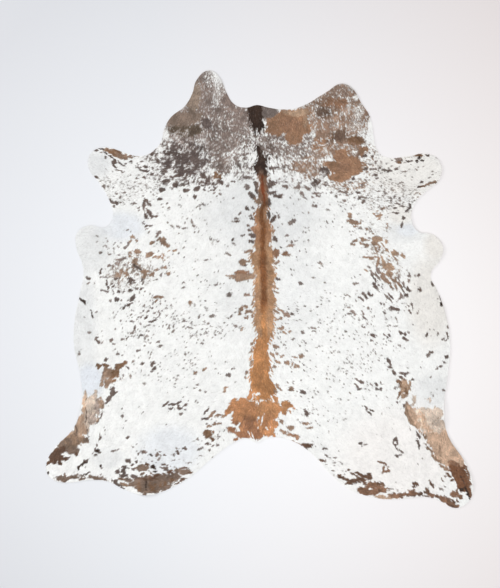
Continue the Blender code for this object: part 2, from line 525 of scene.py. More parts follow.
def trimming_prism():
    """A closed prism on the cut edge, drawn in by the overhang of the hair."""
    mesh = bpy.data.meshes.new("trimming_prism")
    corners = [(x, y, PRISM_BOTTOM) for x, y in edge_ring]
    mesh.from_pydata(corners, [], [range(len(corners))])
    prism = add_object("trimming_prism", mesh)
    select_only(prism)
    bpy.ops.object.mode_set(mode="EDIT")
    bpy.ops.mesh.select_mode(type="FACE")
    bpy.ops.mesh.select_all(action="SELECT")
    bpy.ops.mesh.inset(thickness=HAIR_OVERHANG)
    bpy.ops.mesh.select_all(action="INVERT")
    bpy.ops.mesh.delete(type="FACE")
    bpy.ops.mesh.select_all(action="SELECT")
    bpy.ops.mesh.extrude_region_move(TRANSFORM_OT_translate={"value": (0, 0, PRISM_HEIGHT)})
    bpy.ops.mesh.select_all(action="SELECT")
    bpy.ops.mesh.normals_make_consistent(inside=False)
    bpy.ops.object.mode_set(mode="OBJECT")
    return prism


prism = trimming_prism()
print("prism faces", len(prism.data.polygons))

# %% The leather sheet
LEATHER_CELL = 0.012
LEATHER_MARGIN = 0.03          # the untrimmed sheet is this much larger on each side
SMOOTH_ANGLE = math.radians(40)


def points_of(mesh):
    """The mesh's points as rows of x, y, z."""
    flat = np.empty(len(mesh.vertices) * 3)
    mesh.vertices.foreach_get("co", flat)
    return flat.reshape(-1, 3)


def leather_sheet():
    """The rippled skin, trimmed to the cut edge."""
    deselect_all()
    width = box_high.x - box_low.x + 2 * LEATHER_MARGIN
    length = box_high.y - box_low.y + 2 * LEATHER_MARGIN
    bpy.ops.mesh.primitive_grid_add(
        x_subdivisions=round(width / LEATHER_CELL),
        y_subdivisions=round(length / LEATHER_CELL),
        size=1.0,
    )
    sheet = named(bpy.context.active_object, "leather")
    points = points_of(sheet.data)
    points[:, 0] *= width
    points[:, 1] *= length
    points[:, 2] = lift(points[:, 0], points[:, 1])
    sheet.data.vertices.foreach_set("co", points.ravel())
    apply_modifier(sheet, "SOLIDIFY", "thickness", thickness=LEATHER_THICKNESS, offset=1.0)
    apply_modifier(sheet, "BOOLEAN", "trim", operation="INTERSECT", solver="MANIFOLD", object=prism)
    return sheet


leather = leather_sheet()
bpy.data.objects.remove(prism, do_unlink=True)
select_only(leather)
bpy.ops.object.shade_smooth_by_angle(angle=SMOOTH_ANGLE)
leather.data.calc_loop_triangles()
print("leather triangles", len(leather.data.loop_triangles))

# %% [markdown]
# ## The nap
#
# Hair lies along the body: down the neck and the spine, outwards over the ribs, and down again on
# the flanks and the legs. A short table gives that direction at places on one half of the hide,
# and the other half mirrors it. In between, each place listens to the rows of the table, most to
# the nearest.

# %% Nap table
Nap = namedtuple("Nap", "side along out down")
NAP = [Nap(*row) for row in (
    (0, 0.9, 0, 1), (0, 0.3, 0, 1), (0, -0.3, 0, 1), (0, -0.75, 0, 1), (0.06, 0.1, 0.5, 0.86),
    (0.06, -0.4, 0.45, 0.9), (0.2, 0.9, 0.2, 0.98), (0.4, 0.85, 0.35, 0.9), (0.2, 0.45, 0.6, 0.8),
    (0.55, 0.6, 0.85, 0.45), (0.85, 0.6, 0.98, -0.1), (0.2, -0.1, 0.92, 0.38), (0.2, -0.5, 0.85, 0.5),
    (0.45, 0.1, 0.72, 0.68), (0.45, -0.25, 0.72, 0.7), (0.65, 0.05, 0.62, 0.78), (0.65, -0.35, 0.6, 0.8),
    (0.88, 0.25, 0.8, 0.4), (0.88, -0.05, 0.25, 0.97), (0.92, -0.35, 0.3, 0.95), (0.5, -0.6, 0.75, 0.62),
    (0.5, -0.95, 0.93, 0.3), (0.75, -0.6, 0.5, 0.86), (0.88, -0.65, 0.25, 0.97), (0.75, -0.85, 0.6, 0.8),
    (1, -0.9, 0.62, 0.78),
)]
NAP_SOFTNESS = 0.046           # how far a row of the table reaches before others take over
SPINE_HALF_WIDTH = 0.02        # within this, hair goes straight down the spine


def nap_at(x, y):
    """The direction of the hair at each point, as steps along x and y of length 1."""
    side = np.abs(x)
    out = np.zeros(np.shape(x))
    down = np.zeros(np.shape(x))
    for row in NAP:
        gap = (side - row.side) ** 2 + (y - row.along) ** 2
        weight = 1.0 / (gap + NAP_SOFTNESS ** 2) ** 2
        out += weight * row.out
        down += weight * row.down
    out *= np.tanh(side / SPINE_HALF_WIDTH)
    length = np.hypot(out, down)
    return np.sign(x) * out / length, -down / length


print("nap rows", len(NAP))

# %% [markdown]
# ## A canvas for the pattern
#
# The hide's pattern is worked out once on a fine canvas, a grid of 2 mm cells that covers the
# hide, and each lock of hair then takes its colour from one of the cells that it lies over. The
# canvas starts with random grain. White noise is blurred to lumps of a wanted size, and then
# combed: each cell takes the mean of a few cells up and down the nap, which draws the lumps out
# along the hair.

# %% The canvas and its grain
CANVAS_CELL = 0.002
BLUR = 3.0                     # how strongly waves shorter than the lumps are taken out
EVENING = 1.702                # the logistic curve of this steepness is nearest the bell curve
FINE_BEND, FINE_BEND_SIZE = 0.0018, 0.012
WIDE_BEND, WIDE_BEND_SIZE = 0.0025, 0.045
canvas_columns = math.ceil((box_high.x - box_low.x) / CANVAS_CELL)
canvas_rows = math.ceil((box_high.y - box_low.y) / CANVAS_CELL)
cell_x = box_low.x + (np.arange(canvas_columns) + 0.5) * CANVAS_CELL
cell_y = box_low.y + (np.arange(canvas_rows) + 0.5) * CANVAS_CELL
canvas_x, canvas_y = np.meshgrid(cell_x, cell_y)
nap_x, nap_y = nap_at(canvas_x, canvas_y)


def read_canvas(values, x, y):
    """What the canvas holds in the cell under each point."""
    column = np.clip(((x - box_low.x) / CANVAS_CELL).astype(int), 0, canvas_columns - 1)
    row = np.clip(((y - box_low.y) / CANVAS_CELL).astype(int), 0, canvas_rows - 1)
    return values[row, column]


def lumps(size, seed):
    """Random lumps of about that size, with a mean of 0 and a spread of 1."""
    noise = np.random.default_rng(seed).standard_normal((canvas_rows, canvas_columns))
    waves_y = np.fft.fftfreq(canvas_rows, CANVAS_CELL)[:, None]
    waves_x = np.fft.rfftfreq(canvas_columns, CANVAS_CELL)[None, :]
    kept = np.exp(-BLUR * (waves_x ** 2 + waves_y ** 2) * size ** 2)
    noise = np.fft.irfft2(np.fft.rfft2(noise) * kept, s=noise.shape)
    return noise / noise.std()


def combed(values, reach, steps=3):
    """The same values, drawn out along the nap over that reach on both sides."""
    total = np.zeros(values.shape)
    for step in range(-steps, steps + 1):
        offset = reach * step / steps
        total += read_canvas(values, canvas_x + nap_x * offset, canvas_y + nap_y * offset)
    return total / total.std()


LAYERS = {
    "pin": combed(lumps(0.005, seed=11), reach=0.002),
    "fine": combed(lumps(0.009, seed=12), reach=0.003),
    "medium": combed(lumps(0.016, seed=13), reach=0.005),
    "streak": combed(lumps(0.005, seed=16), reach=0.009),
    "coarse": lumps(0.034, seed=14),
    "broad": lumps(0.090, seed=15),
}


def evened(**weights):
    """Layers of lumps, each with its weight, as shares spread evenly from 0 to 1."""
    total = sum(weight * LAYERS[name] for name, weight in weights.items())
    return 1.0 / (1.0 + np.exp(-EVENING * (total / total.std())))


def bend(seed):
    """How far each cell is pushed aside, by small lumps and by wide ones."""
    return FINE_BEND * lumps(FINE_BEND_SIZE, seed) + WIDE_BEND * lumps(WIDE_BEND_SIZE, seed + 1)


GRAINS = {
    "fine": evened(pin=1.1, fine=0.55, medium=0.18, coarse=0.2),
    "medium": evened(pin=0.7, fine=0.75, medium=0.4, coarse=0.35),
    "coarse": evened(pin=0.45, fine=0.7, medium=0.7, coarse=0.5),
    "spot": evened(pin=0.7, fine=0.75, medium=0.4),
    "streak": evened(streak=1.0, fine=0.5, medium=0.2),
}
bent_x = canvas_x + bend(seed=21)
bent_y = canvas_y + bend(seed=23)
print("canvas", canvas_rows, "x", canvas_columns)

# %% [markdown]
# ## The colours of the coat
#
# The ground is white, bluish where the hair is thin and the skin shines through, and ivory at the
# lower right. The marks run from grey-brown roan on the neck to tan, a red and orange stripe down
# the spine, and almost black at the hoof ends.

# %% Tones
TONES = dict(
    white=(248, 248, 246), blue_white=(230, 234, 240), grey_white=(228, 229, 229),
    rose_white=(248, 239, 234), ivory=(237, 233, 227), grey_brown=(134, 118, 110),
    light_grey_brown=(148, 131, 121), dark_grey_brown=(102, 89, 84), black_brown=(58, 43, 35),
    khaki=(141, 124, 110), olive=(134, 116, 103), dark_olive=(98, 84, 71), slate=(118, 106, 100),
    ash=(134, 122, 115), fawn=(170, 142, 119), warm_brown=(154, 126, 107), tan=(155, 119, 93),
    light_tan=(170, 142, 118), dark_tan=(150, 114, 90), pink_tan=(156, 132, 117),
    brown=(124, 94, 71), spot_brown=(152, 125, 105), spot_dark=(104, 89, 82),
    fleck_grey=(122, 112, 106), red_brown=(116, 61, 36), stripe_tan=(176, 137, 104),
    spine_brown=(158, 118, 88), stripe_core=(128, 82, 50), orange=(179, 127, 83),
    orange_tan=(187, 136, 94), sacrum=(188, 134, 93), sacrum_dark=(157, 111, 81),
    leg_cream=(209, 191, 175), leg_rose=(204, 173, 148), leg_tan=(186, 157, 134),
    leg_ash=(172, 154, 143), leg_brown=(146, 120, 99), hoof=(103, 77, 61), hoof_brown=(114, 77, 54),
    rump_brown=(124, 104, 90), umber=(112, 90, 76), rust_brown=(130, 97, 76),
)
print("tones", len(TONES))

# %% [markdown]
# ## Patches and spots
# A few thin ones on the hind legs and the rump are painted shade in the troughs of creases.
#
# Every mark is a soft oval with ragged edges: its middle in photograph pixels, half its length and
# width in millimetres, its turn in degrees, how much of it is filled with coloured hair, its tone,
# and the grain that breaks it up. Large ovals that are partly filled make roan, where white and
# coloured hairs mix. Small ones that are full make single spots.
#
# The marks stand in tables. A heading between the rows names the tone, and for roan the grain, of
# all the rows under it. A row ends early where the oval isn't turned and is quite full.

# %% Tables with headings
Patch = namedtuple("Patch", "photo_x photo_y long wide turn fill tone grain", defaults=(0, 1, None, "spot"))


def under_headings(kind, fields, *rows):
    """Rows of one kind, each with the words of the heading above it in the named fields."""
    words = {}
    table = []
    for row in rows:
        if isinstance(row, str):
            words = dict(zip(fields.split(), row.split()))
        else:
            table.append(kind(*row, **words))
    return table


print("an oval holds", Patch._fields)

# %% Roan areas
ROAN = under_headings(Patch, "tone grain",
    "grey_brown fine", (207, 120, 270, 225, 0, 0.67), (203, 92, 125, 70, 85, 0.74),
    "dark_grey_brown coarse", (186, 160, 130, 100, 0, 0.62),
    "spot_dark coarse", (160, 160, 75, 85, 0, 0.46),
    "grey_brown fine", (240, 152, 62, 55, 0, 0.54),
    "grey_brown medium", (222, 160, 75, 75, 0, 0.37),
    "grey_brown fine", (222, 165, 60, 42, 0, 0.7),
    "khaki fine", (194, 100, 85, 30, 78, 0.97),
    "olive fine", (184, 119, 92, 42, 8, 0.97),
    "dark_olive medium", (183, 131, 90, 30, -5, 0.76), (195, 130, 40, 26, 0, 0.93),
    "dark_grey_brown fine", (207, 123, 28, 24, 0, 0.93),
    "grey_brown fine", (230, 104, 62, 26, -58, 0.96), (240, 116, 40, 75, 0, 0.8),
    "white fine", (215, 80, 62, 48, -30, 0.43), (217, 96, 24, 48, 0, 0.42), (211, 107, 40, 10, 10, 0.3),
    (246, 128, 30, 55, 0, 0.16),
    "white medium", (178, 140, 75, 13, -10, 0.4),
    "white fine", (166, 133, 15, 34, 0, 0.6),
    "white medium", (204, 154, 30, 30, 0, 0.34), (214, 166, 30, 20, 0, 0.12),
    "white fine", (201, 142, 36, 24, 0, 0.4),
    "spot_dark coarse", (185, 179, 150, 42, 0, 0.38), (212, 178, 70, 40, 0, 0.52),
    "slate fine", (243, 166, 62, 80, 0, 0.35), (268, 113, 56, 38, -8),
    "warm_brown fine", (335, 112, 205, 165, 0, 0.64),
    "grey_brown fine", (290, 143, 200, 80, 0, 0.6),
    "tan fine", (324, 146, 75, 62, 0, 0.62),
    "light_grey_brown fine", (300, 161, 130, 75, 0, 0.46),
    "grey_brown medium", (300, 182, 150, 45, 0, 0.3),
    "pink_tan fine", (341, 91, 62, 38, 12, 0.68),
    "dark_tan fine", (336, 103, 66, 26, 5, 0.84),
    "umber fine", (323, 112, 40, 30, 0, 0.82),
    "warm_brown fine", (322, 133, 46, 28, 0, 0.88),
    "umber medium", (341, 137, 34, 40, 0, 0.9), (331, 145, 30, 28, 0, 0.62),
    "brown fine", (355, 141, 46, 28, 5, 0.98),
    "white fine", (356, 126, 34, 30, 0, 0.34), (358, 113, 26, 44, 0, 0.42), (371, 130, 22, 66, 0, 0.8),
    (355.5, 97, 12, 20, -50, 0.6), (312, 115, 16, 30, 0, 0.35), (313, 134, 14, 20, 0, 0.5),
    "warm_brown medium", (345, 150, 110, 50, 0, 0.62),
    "warm_brown fine", (303, 167, 60, 32, 0, 0.72), (312, 168, 60, 60, 0, 0.64),
    "spot_dark medium", (324, 172, 30, 28, 0, 0.7), (318, 184, 60, 28, 0, 0.4),
    "tan fine", (345, 186, 125, 45, 0, 0.4),
    "tan medium", (370, 160, 55, 90, 0, 0.36),
    "spot_brown fine", (378, 195, 150, 100, 0, 0.22),
    "spot_dark fine", (398, 196, 110, 70, 0, 0.24),
    "spot_brown fine", (380, 226, 110, 40, 0, 0.18),
    "fleck_grey fine", (122, 188, 130, 90, 0, 0.2),
    "spot_dark fine", (150, 182, 80, 60, 0, 0.26),
    "spot_brown medium", (131, 272, 125, 90, 15, 0.33), (386, 262, 120, 65, -50, 0.32),
)
print("roan areas", len(ROAN))

# %% Adding spots
spots = []


def add_spots(region, *rows):
    """Lay the spots of one region over those before them."""
    more = under_headings(Patch, "tone", *rows)
    spots.extend(more)
    print(region, "spots", len(more), "of", len(spots))


print("spots so far", len(spots))

# %% Spots: neck
add_spots("neck",
    "tan", (290, 122, 98, 60), (273, 123, 38, 30), (276, 128, 48, 38), (294, 136, 48, 46),
    (304, 128, 38, 32), (296, 113, 78, 22),
    "light_tan", (297, 112.5, 60, 16), (306, 121, 14, 30, 0, 0.7),
    "dark_tan", (290, 124, 60, 34, 0, 0.8), (276, 133, 34, 14, 0, 0.6),
    "tan", (341, 156, 40, 36), (332, 164, 42, 20, 5), (333, 169, 24, 17), (350, 166.5, 64, 50),
    (338, 177, 52, 26), (343, 170, 48, 46), (364, 149.5, 22, 17, -20), (361.5, 154, 9, 18),
    "dark_tan", (345, 166, 36, 32, 0, 0.85), (340, 156, 20, 24, 0, 0.6),
    "white", (354, 152, 16, 9, 0, 0.5),
    "dark_grey_brown", (186, 171, 58, 13, 3, 0.9), (194, 157, 22, 44, 0, 0.9), (181, 159, 35, 26, 0, 0.85),
    (176, 148, 35, 18, 0, 0.85), (186, 143, 32, 8, -40, 0.8), (169, 163, 20, 16, 0, 0.8),
)

# %% Spots: left foreleg
add_spots("left foreleg",
    "spot_brown", (117, 154, 42, 18, -14), (124, 156, 28, 13, -10), (110, 151, 40, 8, -8),
    (131, 157, 14, 5, -20, 0.8), (137, 156, 10, 4, 0, 0.9), (134, 155.5, 10, 3, 0, 0.6),
    "brown", (110, 153, 30, 9, -25), (117, 152, 24, 6, -16, 0.7),
    "black_brown", (102, 149.5, 16, 4, -12), (107, 155, 18, 4, -35), (112, 158, 14, 4, -35),
    "spot_dark", (105.5, 158, 5, 4, 0, 0.8), (114.5, 162, 12, 11), (114, 165, 10, 6, -30),
    (117, 167, 8, 4, -40), (121, 162, 14, 4, -40), (124, 165, 10, 5, -35), (126.5, 163, 6, 4, 30),
    (121, 171, 16, 5, -25), (118.5, 170, 8, 3, -10, 0.8), (125.5, 173, 8, 3, -40, 0.6),
    (96, 151, 8, 4, -15), (131, 162, 5, 4, 0, 0.8), (137.5, 164.5, 9, 4, -30), (139, 167.5, 12, 5, -10),
    (144.5, 166.5, 11, 8), (97.5, 177.5, 9, 5, -35), (138, 178.5, 8, 6, 20, 0.9), (145.5, 178, 9, 7),
    (112.5, 201.5, 12, 8, -40), (116.5, 202.5, 10, 10), (114.5, 206, 8, 5, 60), (139, 208, 7, 5, 0, 0.9),
    (144.5, 205, 24, 8, 85), (148.5, 204, 16, 8, -60), (146.5, 200.5, 10, 8), (145, 215.5, 16, 10, 85),
    (149, 212, 14, 7, -50), (152, 215.5, 14, 6, -20), (156, 216, 10, 5, 10, 0.9), (143, 223, 10, 4, -40),
    (146.5, 226, 12, 5, 20), (151, 226, 14, 4, 15),
    "ash", (100.5, 153.5, 6, 3, -30, 0.7), (141, 161.5, 6, 4, 0, 0.8), (121, 202, 10, 4, -20, 0.7),
    (134, 203.5, 14, 5, 5, 0.7), (150, 218, 10, 4, 0, 0.7), (144, 211, 6, 4, 0, 0.8),
    (146, 229.5, 9, 5, 0, 0.8), (148, 232, 8, 4, 20, 0.7), (132.5, 185.5, 6, 5, 0, 0.8),
    (134, 189, 5, 5, 0, 0.8), (125, 192.5, 8, 6, 0, 0.6), (117, 194, 8, 4, -10, 0.8),
    (121.5, 197, 8, 4, 20, 0.7), (130, 196, 8, 4, 0, 0.6), (113, 182.5, 7, 4, 0, 0.6),
    (109, 186, 12, 4, -20, 0.4), (104, 186, 14, 6, -45, 0.5), (103, 181, 12, 4, 10, 0.4),
    (128, 229, 6, 5, 0, 0.7), (97, 236, 6, 4, -30, 0.7),
)

# %% Spots: left shoulder
add_spots("left shoulder",
    "spot_dark", (151.5, 153, 14, 7, 25, 0.9), (157, 153, 8, 5, 0, 0.8), (146, 171, 20, 4, -8),
    (153, 174.5, 12, 5, -10), (162, 190, 15, 13), (175.5, 185, 15, 11, 10), (186, 190, 17, 9),
    (184.5, 184, 16, 7, 85, 0.9), (188, 183, 10, 6, 80, 0.8), (196.5, 189, 17, 11, 20),
    (195.5, 184, 10, 6, 60, 0.8), (193.5, 181.5, 8, 5, 0, 0.9), (165.5, 180.5, 16, 8, 10),
    (171, 177, 12, 6, 0, 0.9), (177, 176, 18, 7, 8), (204.5, 176, 17, 13, 0, 0.9),
    (203, 181.5, 12, 7, 0, 0.9), (203.5, 186, 9, 4, 10, 0.9), (213.5, 183.5, 10, 6, 20, 0.9),
    (214, 187.5, 7, 8, 0, 0.8), (204.5, 190.5, 8, 5, 0, 0.8), (194.5, 197, 10, 6, 10),
    (160.5, 199, 11, 6, 10), (167.5, 203.5, 8, 5, 0, 0.9), (221, 181.5, 9, 6, 0, 0.9),
    (234, 181, 9, 5, -10, 0.9), (212, 189.5, 8, 5, 0, 0.8),
    "brown", (217, 176, 20, 15, 0, 0.85), (217, 172, 14, 8, 0, 0.7),
    "ash", (197, 206.5, 6, 5, 0, 0.8), (202.5, 204.5, 8, 5, 0, 0.8), (219.5, 194.5, 7, 6, 0, 0.7),
    (227, 184, 12, 10, 0, 0.4), (179, 204, 8, 4, 0, 0.5), (170, 208, 7, 4, 0, 0.6),
    (208, 190.5, 8, 5, 0, 0.7), (214, 193, 6, 5, 0, 0.6), (156, 194, 18, 9, -10, 0.5),
    (172, 188.5, 7, 7, 0, 0.7), (218.5, 190, 8, 4, 0, 0.5), (159, 213, 5, 4, 0, 0.5),
    (172, 227, 8, 6, 0, 0.9), (178, 226.5, 8, 5, 0, 0.9), (184.5, 227.5, 13, 4, -10, 0.9),
    (178.5, 233, 11, 4, 5, 0.7), (166, 230, 6, 5, 0, 0.6), (168, 223, 8, 5, 0, 0.8), (192, 222, 10, 7, -60),
    (193.5, 226, 11, 6, -70), (204, 222, 10, 5, 10, 0.4), (214, 241, 18, 12, 0, 0.3),
    (219, 242, 14, 5, -20, 0.5), (212.5, 239.5, 9, 4, 0, 0.6), (227.5, 254.5, 12, 5, -5, 0.9),
    (206, 259, 9, 6, 0, 0.5), (196.5, 260, 8, 6, 0, 0.5), (211, 259.5, 7, 6, 0, 0.4),
    (183, 247, 8, 5, 0, 0.5), (218, 282, 6, 4, 0, 0.4), (215.5, 284, 8, 7, 0, 0.6),
    (207.5, 290, 10, 4, 0, 0.3), (228, 295, 14, 6, -10, 0.8), (200, 294, 7, 6, 0, 0.4),
)

# %% Spots: left flank
add_spots("left flank",
    "spot_brown", (161, 239, 16, 12), (164, 243, 22, 13, -15), (152.5, 241.5, 12, 9, 20),
    (134, 254.5, 28, 16, 20, 0.58), (138.5, 251.5, 14, 11, 0, 0.9), (149, 254, 20, 16),
    (157, 257, 26, 7, 0, 0.85), (163.5, 254.5, 9, 8, 0, 0.9), (136.5, 262, 24, 19, 0, 0.6),
    (129, 268, 22, 6, 10, 0.6), (145, 273, 22, 10, 75, 0.95), (143, 271, 16, 8, 0, 0.9),
    (152, 273.5, 16, 8, 30), (156.5, 269.5, 16, 7, 20), (164.5, 266.5, 12, 7, 15, 0.9),
    (168.5, 272, 14, 8, 20), (124.5, 273, 30, 17, -20, 0.72), (118.5, 275, 14, 8, 20, 0.8),
    (157.5, 298, 29, 6), (157, 301.5, 9, 5, 20, 0.8), (161.5, 298, 10, 8), (190, 303, 8, 10, -40, 0.9),
    "fawn", (133, 237, 10, 9, 0, 0.9), (131, 241, 14, 6, 50, 0.9), (136.5, 240, 7, 5, -40, 0.8),
    (168, 250.5, 16, 4, 20, 0.6), (174.5, 250.5, 9, 8, 0, 0.9), (166, 258.5, 16, 4, 15, 0.6),
    "grey_brown", (157.5, 234, 12, 7, 50), (160, 232, 7, 6), (124, 259, 20, 6, 25, 0.9),
    (117.5, 263, 22, 12, 85, 0.8), (125, 263.5, 18, 9, 20, 0.55), (113, 268, 12, 6, 30, 0.7),
    (109, 265, 12, 10, 0, 0.6),
    "spot_dark", (125, 248, 8, 5, 20), (138, 267, 18, 6, -40), (143, 279.5, 11, 5, 40),
    (160.5, 274.5, 14, 4, 60, 0.8), (154, 278.5, 12, 4, 20, 0.8), (131, 279.5, 22, 11, -25),
    (135, 282.5, 12, 5), (130, 282.5, 10, 6), (101, 272.5, 13, 5, 80), (101, 277, 12, 5), (105, 277, 12, 4),
    (107, 283.5, 24, 4, -85), (108, 288, 8, 4, 80), (103.5, 291, 9, 6, -40), (106.5, 291.5, 9, 4, 10, 0.9),
    (114.5, 279, 10, 8), (118.5, 277.5, 9, 5, 30, 0.8), (114.5, 285, 20, 6, 40, 0.85),
    (88.5, 278, 10, 8, -30), (144.5, 284, 10, 6, 70), (142, 288, 12, 5, 25), (131.5, 289, 10, 6, 20, 0.9),
    (132, 297, 18, 9, 60), (127, 306, 28, 4, 35), (98.5, 340.5, 15, 6, -15), (98, 337.5, 6, 4, 0, 0.8),
    (111.5, 340, 12, 6, 40), (113.5, 343.5, 8, 5, -40, 0.9), (132.5, 321.5, 8, 6, 0, 0.9),
    (135.5, 328, 16, 5, 85), (128, 338, 12, 4, 35, 0.9), (138.5, 349.5, 10, 5, 15),
    (142.5, 311, 9, 4, 40, 0.9), (146, 317, 9, 4, 40, 0.9), (152, 321, 9, 5, 20, 0.9),
    (137.5, 318, 9, 4, 45, 0.9), (155, 320.6, 8, 4, 20, 0.9), (151, 307.5, 8, 4, 20, 0.9),
    (140, 304, 9, 4, 40, 0.9), (141, 335, 9, 4, 30, 0.9), (124, 291, 10, 5, 40, 0.9),
    (118, 291, 8, 5, 20, 0.9),
    "dark_grey_brown", (117, 298, 14, 11), (134, 296, 14, 8, 60),
    "black_brown", (82, 300.5, 16, 5, -40), (92, 313, 19, 5, -65),
    "ash", (127.5, 245, 16, 5, 50, 0.9), (105.5, 244.5, 14, 8, 60, 0.6), (98, 243, 6, 5, 0, 0.4),
    (101.5, 252, 7, 5, 0, 0.7), (109.5, 253, 12, 6, -30, 0.7), (114.5, 252, 6, 5, 0, 0.6),
    (119.5, 247.5, 6, 5, 0, 0.7), (121, 243, 7, 5, 0, 0.4), (119.5, 254.5, 7, 5, 0, 0.8),
    (105, 261, 8, 5, 0, 0.4), (118.5, 284, 8, 6, 30, 0.6), (113, 291, 12, 6, -60, 0.7),
    (120.5, 299.5, 8, 5, 0, 0.8), (110.5, 299.5, 7, 6, 0, 0.9), (89, 283.5, 6, 5, 0, 0.8),
    (93.5, 284, 8, 4, 80, 0.7), (137.5, 288.5, 10, 5, 25, 0.9), (140.5, 292, 6, 6, 0, 0.7),
    (129.5, 299, 16, 5, 20, 0.6), (96, 310.5, 6, 4, 0, 0.7), (90, 332.5, 7, 5, 10, 0.8),
    (133.5, 332.5, 12, 4, 60, 0.9), (123.5, 338.5, 9, 4, 20, 0.9), (202.5, 343.5, 10, 6, 0, 0.9),
    (160.5, 346, 12, 5, 0, 0.8), (184, 283, 9, 6, 10, 0.8), (184, 288, 10, 6, 5, 0.9),
    (79, 354, 7, 4, -30, 0.7), (102, 342.5, 8, 4, 20, 0.6), (148, 311.5, 9, 4, 30),
    (131.5, 314.5, 9, 4, 20), (154.5, 313, 9, 5, 10), (158, 311, 8, 4, 60), (159.5, 314, 8, 4, 80),
    (184.5, 321, 12, 4, 0, 0.9), (199.5, 317, 8, 6, 60), (213, 316.5, 10, 7, 0, 0.9),
    (232, 316, 9, 5, 40, 0.9), (227, 317.5, 10, 5, 0, 0.8), (190.5, 328, 12, 4, -10),
    (204.5, 322, 8, 5, 0, 0.9), (203, 324.5, 7, 4, 0, 0.8), (208, 323.5, 7, 5, 0, 0.8),
    (211.5, 326.5, 8, 5, 0, 0.9), (235.5, 326, 8, 7, 0, 0.9), (168.5, 329, 10, 5, 20),
    (173, 332, 10, 4, 40, 0.9), (169, 325, 6, 8, 0, 0.8), (174, 327, 12, 4, 60, 0.8),
    (139, 300, 7, 6, 0, 0.5), (150, 294, 6, 5, 0, 0.8), (163, 326, 8, 4, 60, 0.6), (150, 342, 7, 5, 0, 0.7),
    (158, 341, 8, 6, 0, 0.8), (146, 341, 8, 4, 10, 0.8), (140, 330, 7, 6, 0, 0.6),
    (186, 354.5, 7, 6, 0, 0.7), (152, 352, 8, 5, 0, 0.7), (118, 354, 8, 7, 0, 0.8),
    (107, 359, 12, 5, 0, 0.9), (161, 304, 8, 5, 30, 0.6), (168, 306, 8, 4, 30, 0.6),
    (141, 317, 9, 4, 45, 0.9), (157.5, 317.5, 8, 4, 20, 0.9), (140, 313, 8, 4, 45, 0.8),
    (149, 325, 9, 4, 20, 0.9), (144, 305, 8, 4, 40, 0.9), (146, 301.5, 8, 4, 40, 0.8),
    (152.5, 304, 8, 4, 20, 0.8), (148, 330, 8, 4, 20, 0.8), (140, 323, 9, 4, 40, 0.9),
    (146, 335.6, 8, 4, 20, 0.8), (112, 283.5, 9, 4, 50, 0.9),
)

